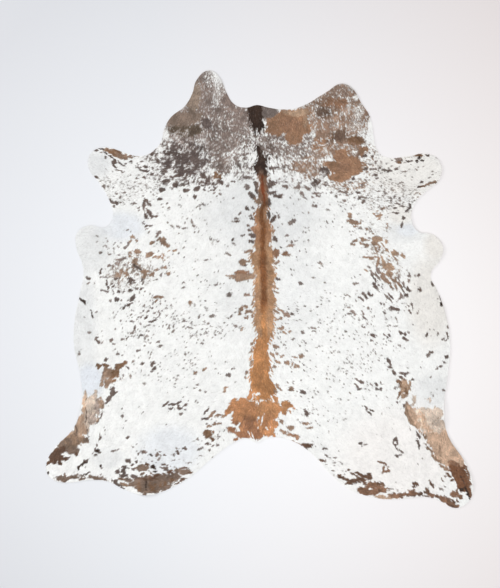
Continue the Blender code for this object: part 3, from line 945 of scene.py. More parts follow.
# %% Spots: left hind leg
add_spots("left hind leg",
    "leg_cream", (92, 409, 72, 42, 88), (85, 397, 26, 8, 90, 0.95), (96, 395, 24, 9, 90, 0.9),
    (84, 424, 70, 32, 72),
    "leg_rose", (84.5, 405, 55, 9, 86, 0.8), (81, 424, 46, 12, 72, 0.8),
    "leg_ash", (98, 410, 50, 12, 82, 0.85), (93, 418, 30, 24, 60, 0.6),
    "leg_tan", (80, 431, 48, 32, 62, 0.9), (72, 438, 54, 34, 45), (101.5, 403, 32, 10, 85, 0.7),
    (78.5, 423, 45, 14, 58),
    "leg_brown", (74, 442, 40, 30, 40), (67, 441, 50, 14, 45, 0.8), (97.5, 420, 18, 5, 62),
    (103, 406, 14, 6, 70), (84, 440.5, 20, 16),
    "rump_brown", (64, 446, 46, 26, 44), (70, 450, 32, 20), (76, 450, 15, 20), (86, 440, 14, 9, 80),
    "hoof", (56, 455, 46, 24, 54), (60, 452, 34, 16, 45), (49, 463.5, 18, 7, 62), (55, 462, 17, 14, 30),
    (61, 463, 15, 8, -70), (60, 458, 24, 15, 20), (66, 459, 20, 10, 20), (76, 454, 12, 8),
    (63, 457, 14, 8, 70),
    "leg_brown", (66, 443, 26, 4, -62, 0.8), (60, 449, 20, 4, -60, 0.5), (70, 446, 24, 4, -70, 0.5),
    # these three thin rump_brown lines are painted shade in the troughs of the left shank's creases
    "rump_brown", (86.6, 414, 72, 2.5, -88, 0.95), (76.5, 430, 26, 2.5, -72, 0.95),
    (78.3, 440, 26, 3, -84, 0.95),
    "spot_dark", (87.6, 433, 16, 2.5, -80), (97.5, 421.5, 12, 3, 62), (101.7, 415, 14, 4, 70),
    (99.5, 410, 10, 3, 75, 0.7),
    "white", (96.3, 416, 12, 2, 75, 0.8), (84.8, 434.8, 9, 4, -25, 0.9),
    "brown", (98.7, 365.5, 14, 12), (105, 365.2, 30, 9), (118, 366.7, 15, 14), (123, 364, 20, 10, 25),
    (126.3, 361.5, 8, 11, 70),
    "spot_brown", (110, 373, 37, 28), (107, 378.5, 32, 24, 10, 0.8), (106, 370, 16, 20),
    (110, 379.5, 24, 11, 50), (107, 384.5, 20, 8, 75),
    "brown", (115.5, 373.5, 20, 20, 0, 0.9), (113.5, 381, 16, 6, 50, 0.9), (111, 376, 24, 10, 20, 0.6),
    "leg_tan", (101.7, 384.5, 15, 8, 60, 0.85), (106, 376, 24, 7, 80, 0.6),
    "white", (113.6, 366, 9, 11, 0, 0.95),
    "spot_dark", (127.5, 367, 15, 3, -42), (117.3, 381, 16, 3, 45, 0.8), (106, 360, 8, 7),
    (112, 388.5, 14, 7, 30), (112, 393, 22, 14, 52), (108.8, 398, 20, 11, 60), (106.4, 402.3, 12, 6, 60),
    (116, 391.5, 12, 5, 20, 0.8),
    "black_brown", (48.5, 472.5, 8, 5), (84, 462, 22, 7, 35), (79.5, 466.5, 22, 5, 52), (101, 465, 9, 9),
    (97.5, 451, 12, 9, 80), (86, 474, 18, 5, 18), (89, 472.5, 10, 5, 20),
    "rump_brown", (62, 478.3, 32, 13), (65.5, 474.5, 12, 7, 80), (70, 477.5, 22, 10, 15),
    (73.5, 474, 8, 3, 40, 0.8), (97, 477.7, 34, 8), (90.5, 477, 12, 6, -35), (78, 476.5, 34, 12, 5, 0.8),
    (82, 479, 24, 5, 8, 0.9), (104, 479.5, 14, 3, -12), (100.5, 475, 5, 4, 60),
    "spot_dark", (80, 475, 14, 3, 10, 0.8), (86, 459.5, 8, 5), (86, 467, 5, 4, 0, 0.8), (102, 468, 5, 4),
    (100, 434, 10, 4, 60), (100, 437, 10, 5, 60), (97, 445, 8, 4, 60), (95.5, 448.5, 8, 5, 60),
    (100, 452.5, 8, 4, 30), (96.5, 455, 8, 5, 20), (93.5, 453, 7, 4, 60, 0.8), (127.5, 436.5, 9, 7, 20),
    "ash", (133.5, 446, 7, 7, 0, 0.9), (123, 415.5, 7, 7, 0, 0.6), (115, 450.5, 20, 4, 8, 0.8),
    (105.5, 430, 6, 5, 0, 0.4), (98, 401, 6, 4, 0, 0.4),
)

# %% Spots: left rump
add_spots("left rump",
    "rump_brown", (147.5, 484.5, 84, 43), (160, 480.5, 60, 32, 10), (172, 478, 46, 24, 20),
    (184, 472.7, 34, 13, 8), (178, 471, 24, 8, 15), (143, 467.5, 29, 17), (142, 473.5, 11, 8),
    (137, 467.5, 12, 6, 0, 0.9), (131, 485, 14, 11), (129, 479, 18, 12, 0, 0.9),
    (166, 487, 26, 16, 20, 0.9),
    "hoof", (147, 479, 60, 6, -2, 0.8), (157, 475.2, 30, 7, 5), (151, 474, 18, 4, -50), (171, 471.3, 14, 9),
    (164, 473.5, 9, 5, 0, 0.9), (184, 467.6, 18, 5, 5), (190, 472.3, 12, 3, 10), (146.5, 463.6, 10, 8),
    (182.5, 480.3, 14, 7, 20, 0.95), (176, 483.5, 14, 4, 30, 0.9),
    "brown", (139, 486, 14, 20, 0, 0.7), (153, 486, 20, 24, 0, 0.6), (163, 484, 16, 16, 0, 0.6),
    (172, 480, 20, 12, 20, 0.5), (122, 478.5, 18, 8, 0, 0.75),
    # the first, thin black_brown line is painted shade in the trough of the left rump's upright crease
    "black_brown", (146.3, 486, 42, 2.5, -88, 0.8), (152.5, 466.6, 17, 11), (155, 471.5, 13, 5, 15),
    (151, 455, 8, 7),
    "white", (178.5, 474, 8, 3, 10, 0.85), (133.3, 488, 14, 4, 30, 0.8), (175, 480.5, 16, 2.5, 30, 0.5),
    (121, 483.5, 10, 4, -30, 0.7),
    "leg_brown", (124.5, 485, 24, 12, -10, 0.85),
    "spot_dark", (119, 485.5, 20, 6, -30), (116.5, 481.5, 12, 11, 0, 0.95), (113, 480.5, 8, 8, 0, 0.8),
    (123.5, 467, 20, 7, 10), (124, 471, 12, 12), (124, 475.7, 26, 8, 12), (118, 472, 12, 12),
    (129, 478.5, 8, 6, 0, 0.9), (128, 461, 12, 10), (128, 468, 9, 6, 0, 0.8), (134.5, 475.7, 14, 12, 20),
    (122, 488, 16, 4, -30, 0.8), (133, 464.5, 10, 5, 20), (137, 461.3, 6, 5, 0, 0.7),
    (133, 468.3, 9, 5, 0, 0.8), (165.5, 466, 26, 5, -3), (165, 463, 10, 5, 10), (168.5, 464, 8, 4, 30),
    (167, 468.5, 12, 7, -30), (143.5, 452, 12, 8), (139, 453.5, 5, 4), (158, 455, 14, 6, 20),
    (161, 451.5, 5, 5), (164.5, 455, 6, 6), (178, 453, 10, 8), (185, 448.5, 12, 7, 10),
    (166.5, 403, 18, 5, 30), (172.5, 404, 14, 6, 10), (177.5, 402.5, 16, 8, 30), (171.5, 408.5, 10, 5),
    (177.5, 407, 14, 4, -60), (180.5, 409, 12, 5, 20), (184.5, 406, 16, 6, 40), (206.5, 410.5, 18, 5, 42),
    (205.5, 418, 20, 5, 20), (209.5, 443, 16, 4), (213.5, 444.5, 10, 5, 20), (152.5, 363, 14, 6, 60),
    (154.5, 367.5, 10, 6, 20), (152, 370.5, 10, 5, 20), (143, 363, 12, 4, 20),
    "ash", (169.5, 488.5, 12, 3, 25, 0.8), (164.5, 491.5, 14, 3, 12, 0.8), (157, 493.5, 12, 4, 10, 0.7),
    (173.5, 455.5, 8, 6, 0, 0.9), (177, 448, 5, 5, 0, 0.7), (158.5, 459.3, 8, 6, 0, 0.7),
    (148.5, 460, 6, 5, 0, 0.4), (187, 460, 8, 4, 0, 0.4), (189, 462.3, 12, 4, -10, 0.9), (180, 413.5, 6, 5),
    (169.5, 412, 4, 4, 0, 0.6), (201.5, 415, 6, 4, 0, 0.6), (218, 444.5, 8, 5, 20),
    (201, 447.5, 12, 5, 15, 0.9), (209.5, 449.5, 8, 6, 0, 0.9), (194, 442.5, 5, 5, 0, 0.5),
    (214.5, 456, 12, 5, 0, 0.7), (203, 455.5, 12, 4, 10, 0.7), (197.5, 438.5, 7, 6, 0, 0.7),
    (218.5, 436.5, 8, 6, 20, 0.9), (133.5, 361.5, 6, 5, 60), (158, 372.5, 6, 4, 0, 0.8),
    (123, 377, 8, 3, 60, 0.8), (131, 376, 9, 4, 60, 0.9), (144, 384, 6, 6, 0, 0.8),
    (176.5, 379.5, 6, 4, 0, 0.5), (200, 389.5, 7, 6, 0, 0.9), (206, 392, 8, 6, 0, 0.7),
    (193.5, 387.5, 5, 4, 0, 0.6), (197, 384, 6, 4, 0, 0.6), (217, 369, 5, 4, 0, 0.8),
    (218.5, 373, 4, 4, 0, 0.8),
    "brown", (207, 434, 22, 20), (213, 431.5, 10, 6), (212.5, 438.5, 14, 6, -10),
    "spot_brown", (211.5, 415.5, 8, 6, 20, 0.9), (214, 412.5, 14, 6, 40), (218, 415, 14, 7, 20),
    (223.5, 415, 16, 6, 10), (210, 426, 14, 6, 20), (214.5, 422.5, 14, 6, 30), (219, 422, 12, 5, 20),
    (197, 373.5, 14, 7, 30, 0.9), (205, 370.5, 10, 5, -10, 0.9), (224, 391, 12, 6, 60),
    (225.5, 387.5, 7, 6, 20),
)

# %% Spots: sacrum
add_spots("sacrum",
    "sacrum", (246, 411, 67, 62), (233.5, 403, 34, 18, 65), (228.5, 409.5, 24, 13, 50), (243, 400, 14, 14),
    (251, 395, 28, 12, 80), (237, 408, 26, 30), (241, 416, 40, 34), (248.5, 427, 50, 52),
    "sacrum_dark", (249, 424, 46, 46, 0, 0.7), (260, 430, 24, 40, 0, 0.8), (235, 420, 20, 8, -15),
    (236, 422, 16, 6, 20), (232, 429.5, 24, 14, -10), (235, 433, 12, 6, -20), (236, 438.5, 14, 8, 20),
    (243, 434.5, 34, 18), (257, 434, 34, 30),
    "orange_tan", (269, 409.5, 60, 54),
    "sacrum", (276, 399.5, 11, 13), (267, 424, 50, 52), (269, 434, 34, 11), (276, 424, 15, 15, 0, 0.95),
    (280, 408.5, 14, 15),
    "orange_tan", (285, 404.5, 23, 25), (284, 409.5, 17, 16),
    "sacrum", (289, 404, 16, 9, -25), (284.5, 413.5, 8, 7), (290.5, 411, 9, 3, -60, 0.9),
    (292, 406.5, 18, 3, -22, 0.9),
    "white", (256.3, 403.5, 26, 2.5, 88, 0.5), (262.5, 419, 18, 3, 72, 0.95), (260, 424, 14, 2, 70, 0.9),
    (267, 427.5, 12, 3, -75, 0.9), (249, 434, 12, 2.5, -70, 0.85), (252.5, 435, 12, 3, -75, 0.9),
    (271, 427.5, 8, 2, -70, 0.85), (237.8, 425.5, 22, 3, 62, 0.95), (275, 419.5, 12, 3, 0, 0.7),
    (265, 400, 34, 3, 0, 0.5), (257, 393.3, 13, 6, -15, 0.95), (272.3, 398.5, 17, 4, -60, 0.95),
    (279.6, 400.5, 22, 2, 88, 0.6),
    "spot_brown", (282, 420.5, 18, 4, -30, 0.9), (281.5, 422.5, 14, 4, -40, 0.9), (290.5, 427, 19, 11),
    (288.5, 431, 4, 6, 0, 0.8), (283.5, 431.5, 16, 9, -25),
    "dark_tan", (292, 434.5, 30, 8, -12), (296.5, 437, 10, 7, -40),
    "spot_brown", (297, 443, 24, 3, -28),
    "hoof", (307, 446, 24, 11, -10),
    "spot_dark", (306.5, 413, 24, 7, -70),
    "spot_brown", (306.5, 422, 20, 6, -10, 0.9), (309, 427, 17, 7, 5, 0.9),
)

# %% Spots: beside the spine
add_spots("beside the spine",
    "spot_dark", (270, 147, 20, 11, 0, 0.9), (272, 140.5, 20, 5, -5, 0.9), (262, 146, 11, 5, -30, 0.9),
    (277, 157, 12, 5, -20, 0.8), (270, 160, 8, 15, 0, 0.8), (271, 167.5, 16, 8, 0, 0.9),
    (273, 172, 20, 5, -80, 0.6), (277, 167.5, 8, 5, 0, 0.9), (284, 168, 10, 6, -20, 0.9),
    (256, 186, 34, 9, -75), (271, 184, 16, 18, 0, 0.95), (274, 182, 14, 6, 10, 0.9),
    (268, 193, 12, 6, -80, 0.9), (272.5, 192.5, 18, 9, 35), (278, 196, 28, 11, -5, 0.95),
    (284.5, 187, 21, 11, -15, 0.9), (233, 181, 9, 6, 0, 0.9), (252, 196, 26, 14, -48),
    (269, 203, 20, 6, -80), (247, 209, 13, 8, -30, 0.95), (237, 221, 14, 6, -5, 0.85),
    (252, 218, 15, 8, -10, 0.9), (268.5, 214, 14, 7, -80), (272.5, 218, 20, 9, 60, 0.95),
    (248.5, 226, 9, 6, 0, 0.95), (249, 230.5, 9, 6, 0, 0.95), (252, 236, 20, 11, -25),
    (242.5, 235, 8, 7, 0, 0.9), (252, 241.5, 12, 7, 0, 0.9), (232, 240, 9, 6, 45, 0.8),
    (275, 238.5, 15, 8, 0, 0.9), (244, 266, 12, 7, 0, 0.9), (277, 278.5, 14, 6, -35, 0.95),
    (302.5, 392.5, 18, 9, -25, 0.95),
    "black_brown", (269, 155, 20, 5, 20, 0.9),
    "slate", (285, 182, 7, 6, 0, 0.8), (246.5, 187, 16, 13, -40, 0.95), (248, 176.5, 20, 8, -20, 0.9),
    (250.5, 169, 12, 6, -80, 0.8), (247, 162, 12, 6, 70, 0.7), (240.5, 165, 12, 6, -70, 0.7),
    (253, 208.5, 11, 6, -40, 0.9), (239, 212, 8, 6, 30, 0.8), (251, 214, 12, 6, 20, 0.9),
    (237, 217, 14, 6, 10, 0.8), (278, 216.5, 10, 11, 0, 0.85), (291.5, 222, 20, 10, 35),
    (235, 245, 16, 6, -25, 0.85), (281, 246.5, 8, 6, 0, 0.85), (288, 236, 9, 5, -30, 0.85),
    (288, 241, 7, 6, 0, 0.8), (291.5, 242.5, 8, 5, 0, 0.8), (295.5, 241.5, 7, 6, 0, 0.8), (301, 284, 10, 7),
    (228, 294.5, 12, 7, 0, 0.85), (232, 315.5, 8, 6, 0, 0.9), (292, 313.5, 8, 6, 0, 0.9),
    (236, 326, 7, 7, 0, 0.9), (302.5, 332.5, 9, 6, -20, 0.9), (292.5, 339, 10, 6, 0, 0.9),
    (228, 375, 14, 7, 15, 0.9), (232.5, 368, 9, 5, 15, 0.85),
    "spot_brown", (297, 187, 15, 11, 0, 0.85), (258, 202, 22, 11, -40), (273, 232, 12, 6, 70, 0.9),
    (247.5, 251, 22, 7, 0, 0.95), (287, 255.5, 15, 5, -15, 0.9), (277, 262, 14, 7, 20, 0.9),
    (242, 262.5, 18, 19, 0, 0.95), (248, 262, 10, 7, 0, 0.8), (243, 277, 58, 20, -3), (232, 275, 28, 5, 2),
    (274.5, 287, 16, 6, -30, 0.95), (275.5, 291, 16, 5, -35, 0.95), (252.5, 302, 14, 6, 65, 0.9),
    (246, 306, 16, 9, 0, 0.95), (241, 309, 14, 11, 20, 0.9), (249, 311, 20, 8, 10, 0.9),
    (239.5, 313.5, 9, 7, 0, 0.9), (246, 317, 14, 11, 0, 0.65), (253, 316, 7, 9, 0, 0.9),
    (279, 308.5, 32, 4, -38, 0.95), (275.5, 311, 17, 6, -30, 0.9), (279, 318, 12, 7, 10, 0.9),
    (282, 327, 16, 9, 20, 0.95), (283.5, 331.5, 10, 8, 0, 0.9), (290, 331.5, 12, 8, -20, 0.6),
    (275.5, 346, 18, 9, -5, 0.95), (272, 354, 22, 4, -55, 0.9), (282, 356, 14, 7, 15, 0.95),
    (277.5, 361.5, 14, 6, -20, 0.95), (275.5, 367, 14, 7, -10, 0.9), (286, 362, 16, 7, -20, 0.95),
    (294, 358, 16, 6, -20, 0.9), (301, 356.5, 15, 13, 0, 0.9), (292, 363, 8, 9, 0, 0.9),
    (296, 366, 15, 4, -20, 0.85), (252, 343, 8, 11, 0, 0.85), (251, 352, 14, 8, 60, 0.9),
    (250.5, 362, 14, 8, 80, 0.8), (247, 372.5, 11, 8, 90, 0.95), (246.5, 377.5, 8, 7, 0, 0.9),
    (278, 387, 22, 5, -50, 0.9), (275, 391, 14, 6, -50, 0.9), (290.5, 389, 11, 12, 0, 0.85),
    "dark_tan", (253, 230, 12, 12, 0, 0.95), (275, 253, 20, 24, 0, 0.95), (283, 253.5, 12, 9, 0, 0.95),
    (243, 273, 28, 10),
    "pink_tan", (290, 246, 22, 7, 0, 0.8), (247, 294.5, 16, 9, 0, 0.9), (286, 314, 16, 12, -10, 0.95),
    (276, 354, 9, 8, 0, 0.8),
    "light_tan", (242.5, 329, 11, 13, 0, 0.7),
)

# %% Spots: right shoulder
add_spots("right shoulder",
    "spot_brown", (350, 215.5, 14, 9, -50), (351.5, 221, 22, 11, -10), (357, 222, 12, 12),
    (356.5, 226, 14, 6, 0, 0.9), (361.5, 221, 12, 6, 60, 0.8), (378, 216, 18, 8, 10), (380, 214, 10, 5, 40),
    (378.5, 218.5, 8, 5), (378, 210, 9, 5, 0, 0.9), (384, 209.5, 8, 5, 0, 0.9), (373.5, 213, 7, 6, 0, 0.9),
    (386.5, 225, 12, 6, 70, 0.8), (367.5, 229, 10, 5, -15, 0.9), (371.5, 232, 12, 5, -40, 0.8),
    (430, 184, 28, 5, 20), (434, 182, 12, 5, 20), (416, 193, 16, 4, 5, 0.5), (420, 194, 12, 4, -40, 0.5),
    (417.5, 197.5, 14, 4, 35, 0.5),
    "grey_brown", (398, 160.5, 16, 15), (376, 162, 10, 10, 0, 0.8), (345, 192.5, 20, 7, -15),
    (340, 191.5, 9, 6, 10, 0.9), (344.5, 200.5, 13, 7, -10, 0.9), (302, 193.5, 14, 7, -60, 0.9),
    (304, 197.5, 12, 5, -20, 0.9), (297, 187, 14, 9, 0, 0.9), (308, 187.5, 20, 8), (316, 193, 14, 8),
    (313, 197, 12, 5, 0, 0.9), (317.5, 196, 8, 5, 0, 0.8),
    "brown", (419, 156.5, 20, 7, 5), (421.5, 187.5, 22, 6, 18), (399, 163, 10, 4, -20),
    "black_brown", (416.5, 162, 9, 5, -15), (421.5, 161.5, 8, 4, 15), (428.5, 155.5, 5, 4, 0, 0.9),
    (419, 159, 8, 6), (407.5, 161, 10, 5, -10),
    "dark_grey_brown", (409.5, 206, 18, 9, 75), (407.5, 210.5, 16, 5, 45), (353.5, 179, 18, 6, 60),
    "spot_dark", (405, 158.5, 8, 4, 20, 0.9), (411, 161, 8, 4, 10), (427, 156.5, 10, 4, -30),
    (391, 161, 5, 5, 0, 0.9), (395.5, 169.5, 8, 5, 20), (388.5, 171.5, 10, 4, 15, 0.9),
    (372.5, 156.5, 8, 6, -10, 0.9), (364, 156.5, 12, 7, 10), (365, 168.5, 12, 6, 10),
    (371.5, 169, 9, 6, 20), (376, 169, 8, 5, -20, 0.9), (375.5, 175, 9, 7), (377, 178.5, 7, 5),
    (421, 182.5, 10, 7, -20), (430, 178.5, 9, 4, 0, 0.8), (418, 188, 10, 5), (409, 202.5, 8, 5, 0, 0.8),
    (397, 213.5, 12, 5, -15), (403.5, 217.5, 8, 7), (402, 223.5, 16, 5, 80), (391, 197.5, 6, 5),
    (391, 201, 6, 5), (395.5, 197.5, 7, 5), (395.5, 203, 7, 5), (399.5, 198, 6, 5), (399, 204, 7, 5),
    (396, 208, 9, 5, -10), (402, 206.5, 8, 5), (351, 182.5, 10, 5, 20, 0.9), (358, 193, 16, 6, -25),
    (358.5, 198.5, 9, 5), (362.5, 201.5, 11, 8), (316.5, 182, 16, 9, -45), (325.5, 184.5, 16, 10, 70, 0.8),
    (316, 205.5, 9, 6),
    "ash", (436, 159.5, 9, 4, 10, 0.7), (415, 169, 8, 4, -20, 0.5), (391.5, 167, 5, 3, 0, 0.7),
    (384, 170.5, 8, 4, -10, 0.8), (379.5, 169, 6, 6, 0, 0.8), (399.5, 173, 8, 3, -40, 0.7),
    (404.5, 171, 12, 3, 25, 0.6), (371.5, 164, 7, 4, 40, 0.8), (377, 155.5, 6, 4, 0, 0.7),
    (380.5, 154, 8, 4, 60, 0.8), (366.5, 178, 6, 5, 0, 0.8), (365, 181.5, 8, 6, -20, 0.9),
    (362, 186.5, 6, 6, 0, 0.9), (380.5, 185.5, 8, 4, 0, 0.9), (378.5, 191, 6, 6, 0, 0.8),
    (384, 193, 7, 6, 0, 0.9), (393, 181, 6, 5, 0, 0.6), (402, 182, 6, 5, 0, 0.8),
    (398, 184.5, 5, 5, 0, 0.8), (403.5, 186.5, 14, 3, 0, 0.7), (391, 206, 8, 5, 10, 0.8),
    (364, 198, 14, 3, -15, 0.8), (367, 196.5, 8, 3, 40, 0.8), (354, 198, 8, 3, -20, 0.6),
    (322, 193, 14, 3, -5, 0.7), (326, 190, 10, 3, 30, 0.7), (331, 193, 6, 5, 0, 0.8),
    (336, 197, 6, 5, 0, 0.9), (339, 188.5, 6, 5, 0, 0.9), (312.5, 205.5, 6, 6, 0, 0.9),
    (320.5, 205, 5, 4, 0, 0.7), (327, 209, 10, 5, -10, 0.5), (308.5, 213, 6, 5, 0, 0.9),
    (360.5, 227.5, 9, 7, 0, 0.8), (350, 231, 7, 5, 0, 0.5), (354.5, 232, 7, 5, 0, 0.7),
    (364.5, 234, 8, 7, 0, 0.5),
)

# %% Spots: right flank
add_spots("right flank",
    "fawn", (376, 240, 26, 18), (394.5, 253, 22, 14, -30, 0.95), (384, 264, 24, 10, -65),
    (389.5, 267, 24, 15, -50), (389, 274, 22, 14, -40), (381.5, 258, 22, 7, -75),
    "spot_brown", (354, 240.5, 18, 8, 10), (352, 243, 8, 7), (354.5, 244.5, 8, 5),
    (362, 238.5, 14, 5, -15, 0.9), (364, 240.5, 22, 6, 0, 0.85), (361.5, 244, 14, 5, -10, 0.9),
    (365.5, 245.5, 18, 7, -25), (373, 244, 16, 11, -20), (378.5, 246.5, 12, 6, -40, 0.9),
    (376, 250.5, 16, 5, -40), (366, 257, 22, 5, -15), (370.5, 258.5, 14, 6, -10), (374.5, 257.5, 14, 6),
    (377, 262.5, 22, 9, 80), (387, 251, 16, 6, -45), (396, 258.5, 12, 5, -20, 0.9),
    (384, 278.5, 26, 7, -45), (388, 281.5, 20, 7, -50), (392, 279, 26, 6, -55), (395.5, 282, 20, 8, -50),
    (400, 286, 22, 6, -50), (391, 287, 16, 5, -50), (395.5, 287, 20, 7, -70, 0.9), (382, 273, 14, 5, -30),
    "fawn", (386, 238.5, 9, 5, -10, 0.7), (386.5, 242.5, 12, 7, -50, 0.8), (383.5, 246, 14, 6, -50, 0.8),
    (382, 249, 10, 4, -50, 0.8), (402.5, 255.5, 14, 7, -70, 0.85), (389, 256, 14, 4, -50, 0.8),
    (366, 270, 12, 5, -40, 0.8),
    "grey_brown", (377, 269.5, 18, 9, -60), (371.5, 273, 12, 5, -40), (376, 275, 18, 4, -45),
    (378.5, 277.5, 14, 5, -60), (399, 278.5, 14, 5, -75), (404, 284.5, 14, 5, -60, 0.9),
    (408.5, 281.5, 14, 6, -60, 0.9), (364, 293, 12, 7, -60, 0.9), (401, 295, 20, 7, -60),
    (399, 298, 14, 5, 50, 0.9), (362, 313, 12, 5, -45), (352.5, 313, 14, 5, -55),
    "spot_dark", (372.5, 276.5, 20, 5, -50), (375, 280, 20, 5, -55), (374, 284, 12, 6, -30),
    (376.5, 287.5, 16, 9, -50), (405.5, 287.5, 12, 5, -40), (403.5, 290.5, 14, 4, -60),
    (410, 289.5, 9, 5, -60), (391.5, 296.5, 18, 6, -45), (391, 300, 14, 4, -50), (406, 294.5, 9, 9),
    (366, 297, 12, 5, -50), (369.5, 294.5, 12, 7, -40), (360.5, 297.5, 12, 5, -35), (363, 299.5, 8, 5, -40),
    (380, 302.5, 12, 5, -50), (393, 308.5, 18, 10, -30), (397.5, 309.5, 10, 6, -20), (412, 305, 24, 4, -78),
    (408.5, 306, 10, 4, -45), (410, 312.5, 12, 5, -60), (384, 312, 10, 4, -20, 0.9),
    (349.5, 314.5, 10, 7, 0, 0.9), (363.5, 317, 16, 6, -45), (363, 327.5, 9, 8), (372.5, 336, 12, 8, -50),
    (401, 332.5, 12, 7, -70), (405.5, 334, 8, 7), (403.5, 338, 14, 6, -40), (418.5, 275.5, 10, 5, 80),
    (419, 289, 9, 8), (384.5, 335.5, 12, 4, -20, 0.9), (388.5, 335, 6, 5), (434.5, 286, 18, 4, -55),
    (439.5, 296.5, 12, 4, -70, 0.9), (447, 334.5, 12, 5, -70), (446, 339.5, 8, 5), (442.5, 338.5, 7, 6),
    (425.5, 335, 7, 5, 80, 0.9), (431.5, 351.5, 8, 5), (447, 356.5, 11, 7, 0, 0.9),
    (444.5, 362, 9, 5, 0, 0.9), (440, 367, 9, 5, 20, 0.9), (436, 370, 9, 5, 20, 0.9),
    (444.5, 390, 8, 6, 0, 0.9),
    "black_brown", (442, 304, 13, 7, 80),
    "ash", (368.5, 238, 8, 5, -30, 0.8), (377.5, 291, 8, 4, -60, 0.9), (379.5, 285, 6, 5, 0, 0.8),
    (382, 287, 6, 6, 0, 0.5), (386, 296, 14, 4, -40, 0.9), (356, 300, 6, 6, 0, 0.8),
    (346.5, 295.5, 10, 6, 20, 0.7), (349.5, 296.5, 5, 4, 0, 0.6), (383, 304, 8, 3, -20, 0.8),
    (388.5, 308, 6, 5, 0, 0.9), (417.5, 311, 14, 4, 80, 0.8), (403, 304, 10, 4, -20, 0.5),
    (396.5, 318, 9, 5, -60, 0.7), (385.5, 316, 14, 4, -60, 0.7), (368.5, 308.5, 12, 4, -50, 0.8),
    (371, 312, 6, 5, 0, 0.6), (349, 308, 10, 3, -30, 0.6), (344.5, 321.5, 5, 5, 0, 0.7),
    (366.5, 324, 7, 5, 0, 0.5), (368, 333, 6, 6, 0, 0.6), (371, 341, 6, 4, 0, 0.7),
    (408.5, 333.5, 5, 5, 0, 0.9), (407.5, 339, 6, 5), (392, 327, 6, 4, 0, 0.5), (396, 325.5, 8, 4, 0, 0.6),
    (387.5, 329.5, 6, 4, 0, 0.5), (399, 344.5, 6, 4, 0, 0.5), (415.5, 276, 6, 4, 80, 0.8),
    (408.5, 273, 10, 5, -40, 0.8), (410, 276.5, 12, 6, -10, 0.8), (406, 270, 6, 4, 0, 0.6),
    (355, 283.5, 11, 5, 0, 0.9), (361, 275.5, 7, 5, 0, 0.5), (368, 266.5, 9, 4, -50, 0.9),
    (360.5, 252, 6, 5, 0, 0.4), (437, 298.5, 8, 5, 0, 0.7), (447.5, 326, 12, 5, 90, 0.9),
    (438, 332.5, 7, 7, 0, 0.8), (430.5, 335.5, 5, 4, 0, 0.8), (429, 354, 14, 6, 30, 0.7),
    (319.5, 263.5, 15, 8, -10, 0.8), (320, 268.5, 8, 4, 0, 0.8), (324, 283.5, 9, 6, 0, 0.7),
    (313.5, 277, 11, 4, 0, 0.7), (332, 246, 6, 5, 0, 0.6), (312.5, 328, 16, 5, -10, 0.9),
    (317, 347, 7, 5, 0, 0.7), (335, 342, 7, 6, 0, 0.5),
)

